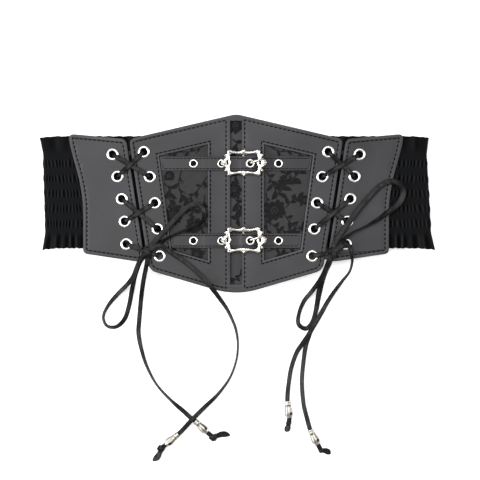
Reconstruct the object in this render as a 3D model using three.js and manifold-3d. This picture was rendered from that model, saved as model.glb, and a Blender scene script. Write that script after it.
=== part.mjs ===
// Lace-up corset belt, fastened behind into a loop and lying on its back on a flat surface.
// Millimetres. X runs across the belt, Y up its height, Z up from the surface it lies on.
// Origin: on the surface, under the middle of the belt without its free laces.

import * as THREE from "three";
import { mergeVertices } from "three/addons/utils/BufferGeometryUtils.js";
import Module from "manifold-3d";

const wasm = await Module();
wasm.setup();

// Main sizes
const beltWidth = 374.4; // between the band's two folds, fastened and lying flat
const frontHeight = 174.4; // between where the front panel's top and bottom edges would meet
const crownHeight = 25; // top of the front panel above the surface, at the middle
const clearance = 0.3; // between pieces that touch

// The arched front: a shallow arc across the belt, in flat facets
const archRadius = 1350;
const facetWidth = 20;
const panelThickness = 2;

// Front panel: a point below, a low peak above, lacing edges that lean outwards
const frontShift = -1.4; // puts the origin midway between the rounded peak and point
const frontTopY = frontHeight / 2 + frontShift;
const frontPointY = -frontHeight / 2 + frontShift;
const frontShoulderX = 102.8;
const frontFootX = 83.5;
const shoulderDrop = 24; // from the peak down to the shoulders
const pointDepth = 24.4; // from the lower corners down to the point
const frontShoulderY = frontTopY - shoulderDrop;
const frontFootY = frontPointY + pointDepth;
const frontShoulderRadius = 6;
const frontFootRadius = 12;
const frontPointRadius = 75;
const frontTopRadius = 20;

// Openings cut in the front panel: a slot in the middle and a window on each side
const slotHalfWidth = 5.6;
const slotTopMargin = 6.2; // from the slot to where the top edges would meet
const slotFootMargin = 10.8; // from the slot to where the bottom edges would meet
const windowInnerX = 27;
const windowTopInset = 29.1; // from the lacing edge in to the windows, at the shoulders
const windowFootInset = 21.6;
const windowOuterTopX = frontShoulderX - windowTopInset;
const windowOuterFootX = frontFootX - windowFootInset;
const windowTopMargin = 22.9; // leather above and below the windows
const windowFootMargin = 26.1;
const windowCornerRadius = 2;
const liningThickness = 1;
const liningMargin = 3.6; // how far the lace lining reaches under the leather

// Side panels, laced to the front
const lacingGap = 2.6;
const sideTopWidth = 56.1;
const sideFootWidth = 60.9;
const sideTopRise = 5.4; // how far the outer top corner stands above the inner one
const sideFootRise = 8.9;
const sideFootLift = 7.3; // from the front panel's foot up to the side panel's
const sideTopInnerY = frontShoulderY;
const sideTopOuterX = frontShoulderX + lacingGap + sideTopWidth;
const sideTopOuterY = sideTopInnerY + sideTopRise;
const sideFootInnerY = frontFootY + sideFootLift;
const sideFootOuterX = frontFootX + lacingGap + sideFootWidth;
const sideFootOuterY = sideFootInnerY + sideFootRise;
const sideCornerRadius = 7;
const sideOuterRadius = 5;

// Eyelets of the lacing, and the small ones in the straps
const eyeletHole = 3.3; // radii
const eyeletBarrel = 3.8;
const eyeletFlange = 6;
const eyeletRise = 1.2; // flange top above its seat
const eyeletSides = 10;
const smallHole = 2.5;
const smallBarrel = 2.9;
const smallFlange = 4.2;
const smallRise = 0.8;
const smallSides = 8;
const eyeletTail = 0.4; // how far a barrel stands out behind

// Five rows of eyelets on each lacing edge: up, the share of the edge's height, and inset, in eyeletInsets
const eyeletInset = 14; // from the lacing edge to the holes' middles
const frontRows = [
  { up: 0.903, inset: 0.89 },
  { up: 0.713, inset: 1.04 },
  { up: 0.514, inset: 1.11 },
  { up: 0.315, inset: 1.03 },
  { up: 0.11, inset: 0.89 },
];
const sideRows = [
  { up: 0.877, inset: 1.1 },
  { up: 0.698, inset: 0.99 },
  { up: 0.517, inset: 0.93 },
  { up: 0.335, inset: 0.97 },
  { up: 0.152, inset: 1.09 },
];

// Straps and their buckles
const strapWidth = 13.8;
const strapThickness = 1.4;
const strapCornerRadius = 0.5;
const strapTopGap = 0.5; // from the upper strap's corner to the window's, and likewise below
const strapFootGap = 1.8;
const strapHoleStep = 27.2;
const strapHoleX = [-1.5, -0.5, 0.5, 1.5].map((steps) => steps * strapHoleStep);
const prongReach = 6.1; // from the buckle's bar to the strap's eyelet that it is fastened in
const buckleX = strapHoleX[2] - prongReach;
const frameThickness = 2.2;
const barHalfWidth = 1.2;
const barThickness = 1;
const barOverhang = 1.2; // how far the bar runs in under the frame
const prongWire = 1.1;
const frameHalfWidth = 22.4;
const frameHalfHeight = 13.8;
const openingHalfWidth = 13.7;
const openingHalfHeight = 8.9;

// Elastic band, gathered
const bandTopY = sideTopOuterY - 2.4;
const bandFootY = sideFootOuterY + 5.3;
const bandThickness = 1.6;
const gatherDepth = 0.4;
const gatherStep = 5; // from a crest to the next hollow
const ruffle = 0.5; // how far the gathers move the band's edges up and down
const foldDepth = 9; // how long the turn of the fold is
const lacePocket = 2.5; // room behind the panels for the laces
const pocketRamp = 8; // length of the band's slope up to the panel beyond the laces
const closureHalfWidth = 17;
const closureOverhang = 1.2;
const closureThickness = 2;
const closureCornerRadius = 3;
const closureRamp = 14; // length of the band's slope up to the closure

// Laces
const laceWidth = 4;
const laceThickness = 1.3;
const laceSlack = 0.35; // further clearance where a lace turns round an eyelet's rim
const laceTurn = 1.2; // from an eyelet's middle to where its lace turns up through it
const crossingLift = 1; // how much higher than it must the upper one of two crossing strands runs
const knotRadius = [6.2, 5.6, 2.7];
const knotLift = 3.1; // of the knots' middles above the panels
const beadLength = 16;
const beadRadius = 4.2;
const beadBore = 2.4;
const beadFlatness = 0.86; // height of a bead over its width
const endKnotRadius = [4.4, 3.6, 2.9];
const rightKnotShare = 0.8; // the right tails' end knots are tied tighter
const lift = 0.15; // of beads and end knots above the surface

const leather = new THREE.MeshStandardMaterial({ color: 0x47474c, roughness: 0.55, metalness: 0 });
const strapLeather = new THREE.MeshStandardMaterial({ color: 0x3c3c40, roughness: 0.5, metalness: 0 });
const elastic = new THREE.MeshStandardMaterial({ color: 0x16181a, roughness: 0.85, metalness: 0 });
const laceFabric = new THREE.MeshStandardMaterial({ color: 0x2b2c30, roughness: 0.8, metalness: 0 });
const cordLeather = new THREE.MeshStandardMaterial({ color: 0x2c2d2f, roughness: 0.5, metalness: 0 });
const silver = new THREE.MeshStandardMaterial({ color: 0xe3dfd6, roughness: 0.22, metalness: 1 });

// Right-hand corners of an outline, bottom first, with their mirror images after them.
function bothSides(corners) {
  return [...corners, ...corners.map(({ x, y, r }) => ({ x: -x, y, r })).reverse()];
}

// How far the front has dropped at x below its crown, straight between the facets' edges.
function archDrop(x) {
  const across = Math.abs(x) / facetWidth;
  const edge = Math.floor(across);
  const dropAt = (facet) => (facet * facetWidth) ** 2 / (2 * archRadius);
  return dropAt(edge) + (across - edge) * (dropAt(edge + 1) - dropAt(edge));
}

// Height of the underside of the panels at x; heights of what lies on the front are counted from it.
function undersideAt(x) {
  return crownHeight - panelThickness - archDrop(x);
}

// x of the front panel's lacing edge at height y.
function frontEdgeX(y) {
  return frontFootX + ((y - frontFootY) * (frontShoulderX - frontFootX)) / (frontShoulderY - frontFootY);
}

// Heights of the windows' corners, and of the straps that lie across them.
const windowTopY = (x) => frontTopY - (x * shoulderDrop) / frontShoulderX - windowTopMargin;
const windowFootY = (x) => frontPointY + (x * pointDepth) / frontFootX + windowFootMargin;
const windowOuterTopY = windowTopY(windowOuterTopX);
const windowOuterFootY = windowFootY(windowOuterFootX);
const strapHeights = {
  upper: windowOuterTopY - strapTopGap - strapWidth / 2,
  lower: windowOuterFootY + strapFootGap + strapWidth / 2,
};

// x of the window's outer edge at height y.
function windowEdgeX(y) {
  const share = (y - windowOuterFootY) / (windowOuterTopY - windowOuterFootY);
  return windowOuterFootX + share * (windowOuterTopX - windowOuterFootX);
}

// Adds a closed outline with rounded corners to a path; each corner is { x, y, r }, in order.
function roundedOutline(path, corners) {
  corners.forEach((corner, i) => {
    const here = new THREE.Vector2(corner.x, corner.y);
    const before = new THREE.Vector2(corners.at(i - 1).x, corners.at(i - 1).y).sub(here).normalize();
    const next = corners[(i + 1) % corners.length];
    const after = new THREE.Vector2(next.x, next.y).sub(here).normalize();
    const halfAngle = before.angleTo(after) / 2;
    const reach = corner.r / Math.tan(halfAngle);
    const start = here.clone().addScaledVector(before, reach);
    const end = here.clone().addScaledVector(after, reach);
    if (i === 0) path.moveTo(start.x, start.y);
    else path.lineTo(start.x, start.y);
    path.quadraticCurveTo(here.x, here.y, end.x, end.y);
  });
  path.closePath();
  return path;
}

// A round hole whose flats clear the radius.
function roundHole(x, y, radius, sides) {
  const hole = new THREE.Path();
  const around = radius / Math.cos(Math.PI / sides);
  for (let i = 0; i < sides; i++) {
    const angle = (-2 * Math.PI * i) / sides;
    const at = [x + around * Math.cos(angle), y + around * Math.sin(angle)];
    if (i === 0) hole.moveTo(...at);
    else hole.lineTo(...at);
  }
  hole.closePath();
  return hole;
}

function plate(shape, bottom, thickness, curveSegments = 4) {
  const made = new THREE.ExtrudeGeometry(shape, { depth: thickness, bevelEnabled: false, curveSegments });
  return made.translate(0, 0, bottom);
}

function solidOf(geometry) {
  const bare = new THREE.BufferGeometry();
  const source = geometry.index ? geometry.toNonIndexed() : geometry;
  bare.setAttribute("position", source.getAttribute("position"));
  const merged = mergeVertices(bare, 1e-3);
  return new wasm.Manifold(
    new wasm.Mesh({
      numProp: 3,
      vertProperties: new Float32Array(merged.attributes.position.array),
      triVerts: new Uint32Array(merged.index.array),
    }),
  );
}

function geometryOf(solid) {
  const { vertProperties, triVerts } = solid.getMesh();
  const made = new THREE.BufferGeometry();
  made.setAttribute("position", new THREE.BufferAttribute(new Float32Array(vertProperties), 3));
  made.setIndex(new THREE.BufferAttribute(new Uint32Array(triVerts), 1));
  return made;
}

// Lays a flat plate on the arched front, in slabs that each stay flat-faced; its own heights count from
// the panels' underside, and rise and ownStations tell of humps of its own.
function drape(geometry, rise = () => 0, ownStations = []) {
  geometry.computeBoundingBox();
  const { min, max } = geometry.boundingBox;
  const stations = [...ownStations];
  for (let x = Math.ceil(min.x / facetWidth) * facetWidth; x < max.x; x += facetWidth) stations.push(x);
  stations.sort((p, q) => p - q);
  const slabs = [];
  let rest = solidOf(geometry);
  for (const x of stations) {
    const [beyond, before] = rest.splitByPlane([1, 0, 0], x);
    slabs.push(before);
    rest = beyond;
  }
  const bent = [...slabs, rest].map((slab) => {
    const made = geometryOf(slab);
    const position = made.getAttribute("position");
    for (let i = 0; i < position.count; i++) {
      const x = position.getX(i);
      position.setZ(i, position.getZ(i) + undersideAt(x) + rise(x));
    }
    return solidOf(made);
  });
  return geometryOf(bent.reduce((all, slab) => all.add(slab)));
}

function node(name, geometry, material) {
  const mesh = new THREE.Mesh(geometry, material);
  mesh.name = name;
  return mesh;
}

// The middle line of a flat strip with the direction of its width at each point, and of its face if given.
class StripCourse extends THREE.Curve {
  constructor(points, across, facing) {
    super();
    this.points = points;
    this.across = across;
    this.facing = facing;
  }

  getPoint(t) {
    const along = t * (this.points.length - 1);
    const i = Math.min(Math.floor(along), this.points.length - 2);
    return this.points[i].clone().lerp(this.points[i + 1], along - i);
  }

  getSpacedPoints() {
    return this.points;
  }

  computeFrenetFrames() {
    const last = this.points.length - 1;
    const tangents = this.points.map((_, i) =>
      this.points[Math.min(i + 1, last)].clone().sub(this.points[Math.max(i - 1, 0)]).normalize(),
    );
    const normals = tangents.map((tangent, i) =>
      this.across[i].clone().addScaledVector(tangent, -this.across[i].dot(tangent)).normalize(),
    );
    const binormals = tangents.map((tangent, i) => tangent.clone().cross(normals[i]));
    if (this.facing) return { tangents, normals: this.across, binormals: this.facing };
    return { tangents, normals, binormals };
  }
}

// A strip of a flat section along a course.
function strip({ points, across, facing }, width, thickness, sides) {
  const shape = new THREE.Shape();
  const [w, t] = [width / 2, thickness / 2];
  const corner = t * 0.7;
  const outline = {
    4: [[w, -t], [w, t], [-w, t], [-w, -t]],
    6: [[w, 0], [w - t, t], [t - w, t], [-w, 0], [t - w, -t], [w - t, -t]],
    8: [
      [w, corner - t], [w, t - corner], [w - corner, t], [corner - w, t],
      [-w, t - corner], [-w, corner - t], [corner - w, -t], [w - corner, -t],
    ],
  }[sides];
  outline.forEach(([x, y], i) => (i ? shape.lineTo(x, y) : shape.moveTo(x, y)));
  shape.closePath();
  return new THREE.ExtrudeGeometry(shape, {
    steps: points.length - 1,
    extrudePath: new StripCourse(points, across, facing),
    bevelEnabled: false,
  });
}

// Leather panels and the lace behind their openings

function frontPanel() {
  const [rightFoot, rightShoulder, leftShoulder, leftFoot] = bothSides([
    { x: frontFootX, y: frontFootY, r: frontFootRadius },
    { x: frontShoulderX, y: frontShoulderY, r: frontShoulderRadius },
  ]);
  const shape = roundedOutline(new THREE.Shape(), [
    { x: 0, y: frontPointY, r: frontPointRadius },
    rightFoot,
    rightShoulder,
    { x: 0, y: frontTopY, r: frontTopRadius },
    leftShoulder,
    leftFoot,
  ]);
  shape.holes.push(roundedOutline(new THREE.Path(), slotCorners()));
  for (const hand of [1, -1]) {
    shape.holes.push(roundedOutline(new THREE.Path(), windowCorners(hand, 0)));
    for (const { x, y } of eyeletCentres(hand, "front")) {
      shape.holes.push(roundHole(x, y, eyeletBarrel + clearance, eyeletSides));
    }
  }
  return node("front_panel", drape(plate(shape, 0, panelThickness, 3)), leather);
}

function slotCorners() {
  const [x, r] = [slotHalfWidth, windowCornerRadius / 2];
  const top = frontTopY - slotTopMargin;
  const foot = frontPointY + slotFootMargin;
  return [
    { x: -x, y: foot, r },
    { x, y: foot, r },
    { x, y: top, r },
    { x: -x, y: top, r },
  ];
}

// Corners of a window, moved outwards by a margin; hand is 1 for the right one and -1 for the left one.
function windowCorners(hand, margin) {
  const r = windowCornerRadius;
  const corners = [
    { x: windowInnerX - margin, y: windowFootY(windowInnerX) - margin, r },
    { x: windowOuterFootX + margin, y: windowOuterFootY - margin, r },
    { x: windowOuterTopX + margin, y: windowOuterTopY + margin, r },
    { x: windowInnerX - margin, y: windowTopY(windowInnerX) + margin, r },
  ];
  const handed = corners.map(({ x, y }) => ({ x: hand * x, y, r }));
  return hand > 0 ? handed : handed.reverse();
}

// One lace-faced sheet behind the slot and both windows.
function laceLining() {
  const r = windowCornerRadius;
  const [, outerFoot, outerTop] = windowCorners(1, liningMargin);
  const [slotFoot, , slotTop] = slotCorners();
  const shape = roundedOutline(new THREE.Shape(), [
    { x: 0, y: slotFoot.y - liningMargin / 2, r },
    outerFoot,
    outerTop,
    { x: 0, y: slotTop.y + liningMargin / 2, r },
    { ...outerTop, x: -outerTop.x },
    { ...outerFoot, x: -outerFoot.x },
  ]);
  const flat = plate(shape, -clearance - liningThickness, liningThickness);
  return node("lace_lining", drape(flat), laceFabric);
}

// The right side panel; the left one is its mirror image.
function sidePanel(name) {
  const innerX = (y) => frontEdgeX(y) + lacingGap;
  const outerSpan = sideTopOuterY - sideFootOuterY;
  // The outer edge curves in: shares of the way out from the foot's corner to the top's, and up
  const outerEdge = [
    { out: 0.9, up: 0.92 },
    { out: 0.71, up: 0.82 },
    { out: 0.27, up: 0.617 },
    { out: 0.05, up: 0.45 },
    { out: 0, up: 0.34 },
    { out: 0, up: 0.06 },
  ].map(({ out, up }) => new THREE.Vector2(
    sideFootOuterX + out * (sideTopOuterX - sideFootOuterX),
    sideFootOuterY + up * outerSpan,
  ));
  const shape = new THREE.Shape();
  const r = sideCornerRadius;
  const topInner = { x: innerX(sideTopInnerY), y: sideTopInnerY };
  const footInner = { x: innerX(sideFootInnerY), y: sideFootInnerY };
  const topSlope = (sideTopOuterY - topInner.y) / (sideTopOuterX - topInner.x);
  const footSlope = (sideFootOuterY - footInner.y) / (sideFootOuterX - footInner.x);
  shape.moveTo(innerX(topInner.y - r), topInner.y - r);
  shape.lineTo(innerX(footInner.y + r), footInner.y + r);
  shape.quadraticCurveTo(footInner.x, footInner.y, footInner.x + r, footInner.y + r * footSlope);
  const o = sideOuterRadius;
  shape.lineTo(sideFootOuterX - o, sideFootOuterY - o * footSlope);
  shape.quadraticCurveTo(sideFootOuterX, sideFootOuterY, outerEdge.at(-1).x, outerEdge.at(-1).y);
  shape.splineThru(outerEdge.slice(0, -1).reverse());
  shape.quadraticCurveTo(sideTopOuterX, sideTopOuterY, sideTopOuterX - o, sideTopOuterY - o * topSlope);
  shape.lineTo(topInner.x + r, topInner.y + r * topSlope);
  shape.quadraticCurveTo(topInner.x, topInner.y, innerX(topInner.y - r), topInner.y - r);
  for (const { x, y } of eyeletCentres(1, "side")) {
    shape.holes.push(roundHole(x, y, eyeletBarrel + clearance, eyeletSides));
  }
  return node(name, drape(plate(shape, 0, panelThickness, 3)), leather);
}

// Metal eyelets

// A ring turned from a profile of [radius, height] points, its axis upright.
function turned(profile, sides) {
  const points = [...profile, profile[0]].map(([r, z]) => new THREE.Vector2(r, z));
  return new THREE.LatheGeometry(points, sides).rotateX(Math.PI / 2);
}

function eyeletGeometry({ hole, barrel, flange, rise, depth, tail, sides }) {
  const seat = depth / 2 + clearance;
  return turned([[hole, -depth / 2 - tail], [barrel, seat], [flange, seat], [hole, seat + rise]], sides);
}

// The front column or the side column of eyelets on one side.
function eyeletCentres(hand, column) {
  const onFront = column === "front";
  const [foot, top] = onFront ? [frontFootY, frontShoulderY] : [sideFootInnerY, sideTopInnerY];
  return (onFront ? frontRows : sideRows).map(({ up, inset }) => {
    const y = foot + up * (top - foot);
    const edge = onFront ? frontEdgeX(y) : frontEdgeX(y) + lacingGap;
    return { x: hand * (edge + (onFront ? -1 : 1) * inset * eyeletInset), y };
  });
}

function placedOnFront(mesh, x, y, z) {
  mesh.position.set(x, y, z + undersideAt(x));
  mesh.rotation.y = Math.atan(x / archRadius);
  return mesh;
}

function lacingEyelets() {
  const ring = eyeletGeometry({
    hole: eyeletHole, barrel: eyeletBarrel, flange: eyeletFlange, rise: eyeletRise,
    depth: panelThickness, tail: eyeletTail, sides: eyeletSides,
  });
  const made = [];
  for (const [handName, hand] of [["left", -1], ["right", 1]]) {
    for (const column of ["front", "side"]) {
      eyeletCentres(hand, column).forEach(({ x, y }, row) => {
        const mesh = node(`eyelet_${handName}_${column}_${row + 1}`, ring, silver);
        made.push(placedOnFront(mesh, x, y, panelThickness / 2));
      });
    }
  }
  return made;
}

// Straps with their buckles

// A quarter of the buckle's scrolled outline, from the finial round to the side tip, and of its opening,
// as shares of half its width and height
const frameQuarter = [
  { x: 0.071, y: 0.848 },
  { x: 0.143, y: 0.768 },
  { x: 0.357, y: 0.804 },
  { x: 0.58, y: 0.891 },
  { x: 0.705, y: 0.812 },
  { x: 0.719, y: 0.623 },
  { x: 0.812, y: 0.609 },
  { x: 0.848, y: 0.478 },
  { x: 0.786, y: 0.37 },
  { x: 0.866, y: 0.239 },
].map(({ x, y }) => ({ x: x * frameHalfWidth, y: y * frameHalfHeight }));
const openingQuarter = [
  { x: 0.905, y: 1.034 },
  { x: 1, y: 0.831 },
  { x: 0.985, y: 0.427 },
].map(({ x, y }) => ({ x: x * openingHalfWidth, y: y * openingHalfHeight }));
const openingPinchX = 0.898 * openingHalfWidth;
const piercing = { x: 15.6, halfWidth: 0.9, halfHeight: 1.7 }; // a small hole in each side
const castBead = { x: 14.6, y: 11.2, r: 1.7 }; // one on each corner of the frame

const strapOnPanel = panelThickness + clearance;
const barSeat = strapOnPanel + prongWire + clearance;
const strapOverBar = barSeat + barThickness + clearance;
// The frame's sides lie over the strap and clear its eyelets
const frameSeat = strapOnPanel + strapThickness + clearance + smallRise + clearance;
const strapSlope = 9; // length of the strap's slope down into a window
const barSlope = 4; // and up to its hump over the buckle's bar
// Height of a strap's underside along it
const strapCourse = [
  { x: -windowInnerX - strapSlope, rise: 0 },
  { x: -windowInnerX + clearance, rise: strapOnPanel },
  { x: buckleX - barHalfWidth - barSlope, rise: strapOnPanel },
  { x: buckleX - barHalfWidth - clearance, rise: strapOverBar },
  { x: strapHoleX[2] + smallFlange + clearance, rise: strapOverBar },
  { x: buckleX + openingPinchX, rise: strapOnPanel },
  { x: windowInnerX - clearance, rise: strapOnPanel },
  { x: windowInnerX + strapSlope, rise: 0 },
];

function strapRise(x) {
  const i = strapCourse.findIndex((point) => point.x >= x);
  if (i === -1) return strapCourse.at(-1).rise;
  if (i === 0) return strapCourse[0].rise;
  const [a, b] = [strapCourse[i - 1], strapCourse[i]];
  return a.rise + ((x - a.x) / (b.x - a.x)) * (b.rise - a.rise);
}

function strap(name, y) {
  const half = strapWidth / 2;
  const r = strapCornerRadius;
  const ends = [1, -1].map((up) => windowEdgeX(y + up * half) - clearance * 2);
  const shape = roundedOutline(new THREE.Shape(), [
    { x: -ends[1], y: y - half, r },
    { x: ends[1], y: y - half, r },
    { x: ends[0], y: y + half, r },
    { x: -ends[0], y: y + half, r },
  ]);
  for (const x of strapHoleX) shape.holes.push(roundHole(x, y, smallBarrel + clearance, smallSides));
  const flat = plate(shape, 0, strapThickness, 2);
  return node(name, drape(flat, strapRise, strapCourse.map(({ x }) => x)), strapLeather);
}

function strapEyelets(place, y) {
  const ring = eyeletGeometry({
    hole: smallHole, barrel: smallBarrel, flange: smallFlange, rise: smallRise,
    depth: strapThickness, tail: 0, sides: smallSides,
  });
  return strapHoleX.map((x, i) => {
    const mesh = node(`strap_eyelet_${place}_${i + 1}`, ring, silver);
    return placedOnFront(mesh, x, y, strapRise(x) + strapThickness / 2);
  });
}

function fourfold(quarter, tip, crown) {
  const right = [{ x: tip, y: 0 }, ...[...quarter].reverse(), { x: 0, y: crown }];
  const upper = [...right, ...quarter.map(({ x, y }) => ({ x: -x, y }))];
  return [...upper, ...upper.slice().map(({ x, y }) => ({ x: -x, y: -y }))];
}

function polygonPath(path, points) {
  points.forEach(({ x, y }, i) => (i ? path.lineTo(x, y) : path.moveTo(x, y)));
  path.closePath();
  return path;
}

function buckle(name, y) {
  const shape = polygonPath(new THREE.Shape(), fourfold(frameQuarter, frameHalfWidth, frameHalfHeight));
  const opening = fourfold(openingQuarter, openingPinchX, openingHalfHeight);
  shape.holes.push(polygonPath(new THREE.Path(), opening.reverse()));
  for (const hand of [1, -1]) {
    const { x, halfWidth, halfHeight } = piercing;
    shape.holes.push(polygonPath(new THREE.Path(), [
      { x: hand * x + halfWidth, y: 0 },
      { x: hand * x, y: -halfHeight },
      { x: hand * x - halfWidth, y: 0 },
      { x: hand * x, y: halfHeight },
    ]));
  }
  let frame = solidOf(plate(shape, frameSeat, frameThickness));
  const top = frameSeat + frameThickness;
  for (const [across, up] of [[1, 1], [-1, 1], [1, -1], [-1, -1]]) {
    const ball = new THREE.SphereGeometry(castBead.r, 6, 4);
    frame = frame.add(solidOf(ball.translate(across * castBead.x, up * castBead.y, top - castBead.r / 4)));
  }
  const barLength = 2 * (openingHalfHeight + barOverhang);
  const bar = new THREE.BoxGeometry(2 * barHalfWidth, barLength, barThickness);
  frame = frame.add(solidOf(bar.translate(0, 0, barSeat + barThickness / 2)));
  const postWidth = openingHalfHeight + barOverhang - strapWidth / 2 - clearance;
  const postHeight = frameSeat + frameThickness / 4 - barSeat;
  for (const up of [1, -1]) {
    const post = new THREE.BoxGeometry(2 * barHalfWidth, postWidth, postHeight);
    const postY = up * (strapWidth / 2 + clearance + postWidth / 2);
    frame = frame.add(solidOf(post.translate(0, postY, barSeat + postHeight / 2)));
  }
  return placedOnFront(node(name, geometryOf(frame), silver), buckleX, y, 0);
}

// The prong hooks under the bar, comes up through the strap's eyelet and rests on the frame.
function prong(name, y) {
  const r = prongWire / 2;
  const low = strapOnPanel + r;
  const hook = -barHalfWidth - clearance - r;
  const through = strapHoleX[2] - buckleX;
  const overRim = strapOverBar + strapThickness + clearance + smallRise + clearance + r;
  const onFrame = frameSeat + frameThickness + clearance + r;
  const course = [
    [hook, 0, barSeat + barThickness / 2],
    [hook, 0, barSeat - r / 4],
    [-barHalfWidth, 0, low],
    [through - smallHole, 0, low],
    [through - smallHole / 3, 0, low + prongWire],
    [through, 0, strapOverBar + strapThickness],
    [through + smallHole * 0.6, 0.3, overRim - r],
    [through + smallFlange * 0.85, 0.9, overRim + r / 4],
    [openingHalfWidth + 2, 2.3, onFrame + r / 4],
    [openingHalfWidth + 4.8, 2.9, onFrame],
  ].map((p) => new THREE.Vector3(...p));
  const across = course.map(() => new THREE.Vector3(0, 1, 0));
  const wire = strip({ points: course, across }, prongWire, prongWire, 6);
  return placedOnFront(node(name, wire, silver), buckleX, y, 0);
}

// Elastic band: from under the front panel, round the fold and along the back to the closure.
function elasticHalf(name) {
  const middle = bandThickness / 2 + gatherDepth;
  const under = (x, depth) => [x, undersideAt(x) - depth - middle];
  const liningUnderside = clearance + liningThickness;
  const pocket = lacePocket + clearance;
  const pocketEnd = Math.max(...eyeletCentres(1, "side").map(({ x }) => x)) + eyeletFlange;
  const foldTop = beltWidth / 2 - middle - foldDepth;
  const [, foldTopZ] = under(foldTop, clearance);
  const foldMiddleZ = (foldTopZ + middle) / 2;
  const turn = [-60, -30, 0, 30, 60].map((degrees) => {
    const angle = THREE.MathUtils.degToRad(degrees);
    const z = foldMiddleZ - ((foldTopZ - middle) / 2) * Math.sin(angle);
    return [foldTop + foldDepth * Math.cos(angle), z];
  });
  const overClosure = closureThickness + clearance + middle;
  const course = [
    under(windowOuterFootX, liningUnderside + clearance),
    under(windowOuterTopX - liningMargin, liningUnderside + clearance),
    under(windowOuterTopX, pocket),
    under(pocketEnd, pocket),
    under(pocketEnd + pocketRamp, clearance),
    under(foldTop, clearance),
    ...turn,
    [foldTop, middle],
    [closureHalfWidth + closureRamp, middle],
    [closureHalfWidth + clearance, overClosure],
    [clearance, overClosure],
  ].map(([x, z]) => new THREE.Vector3(x, 0, z));
  const path = new THREE.CurvePath();
  course.slice(1).forEach((point, i) => path.add(new THREE.LineCurve3(course[i], point)));
  const steps = 2 * Math.round(path.getLength() / gatherStep / 2);
  const bandMiddleY = (bandTopY + bandFootY) / 2;
  const band = { points: [], across: [], facing: [] };
  for (let i = 0; i <= steps; i++) {
    const along = path.getTangent(i / steps);
    const out = new THREE.Vector3(-along.z, 0, along.x);
    const crest = i % 2 ? 1 : -1;
    const point = path.getPoint(i / steps).addScaledVector(out, crest * gatherDepth);
    band.points.push(point.setY(bandMiddleY + crest * ruffle));
    band.across.push(new THREE.Vector3(0, 1, 0));
    band.facing.push(out);
  }
  const width = bandTopY - bandFootY - 2 * ruffle;
  return node(name, strip(band, width, bandThickness, 4), elastic);
}

// The plain closure behind, which joins the two halves of the band.
function backClosure() {
  const shape = roundedOutline(new THREE.Shape(), bothSides([
    { x: closureHalfWidth, y: bandFootY - closureOverhang, r: closureCornerRadius },
    { x: closureHalfWidth, y: bandTopY + closureOverhang, r: closureCornerRadius },
  ]));
  return node("back_closure", plate(shape, 0, closureThickness, 3), leather);
}

// Laces

// Each lace: where its knot lies, which of the crossing strands goes over the other, and the directions,
// in degrees, in which its two ends leave the knot
const lacings = {
  left: { hand: -1, knot: knotAt(-85.4, -46.6), over: "front", frontExit: -17, sideExit: 159 },
  right: { hand: 1, knot: knotAt(92.6, -47.3), over: "side", frontExit: 189, sideExit: 22 },
};

function knotAt(x, y) {
  return [x, y, undersideAt(x) + panelThickness + knotLift];
}

function knotBall([x, y, z], radii) {
  return new THREE.SphereGeometry(1, 8, 5).rotateX(Math.PI / 2).scale(...radii).translate(x, y, z);
}

// The point between one inside a knot and one outside it that lies just clear of the knot.
function clearOfKnot(inside, outside, centre, radii) {
  const reach = new THREE.Vector3(...radii).addScalar(clearance);
  const start = inside.clone().sub(new THREE.Vector3(...centre)).divide(reach);
  const step = outside.clone().sub(inside).divide(reach);
  const slope = start.dot(step) / step.lengthSq();
  const t = -slope + Math.sqrt(slope ** 2 + (1 - start.lengthSq()) / step.lengthSq());
  return inside.clone().lerp(outside, t);
}

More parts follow.
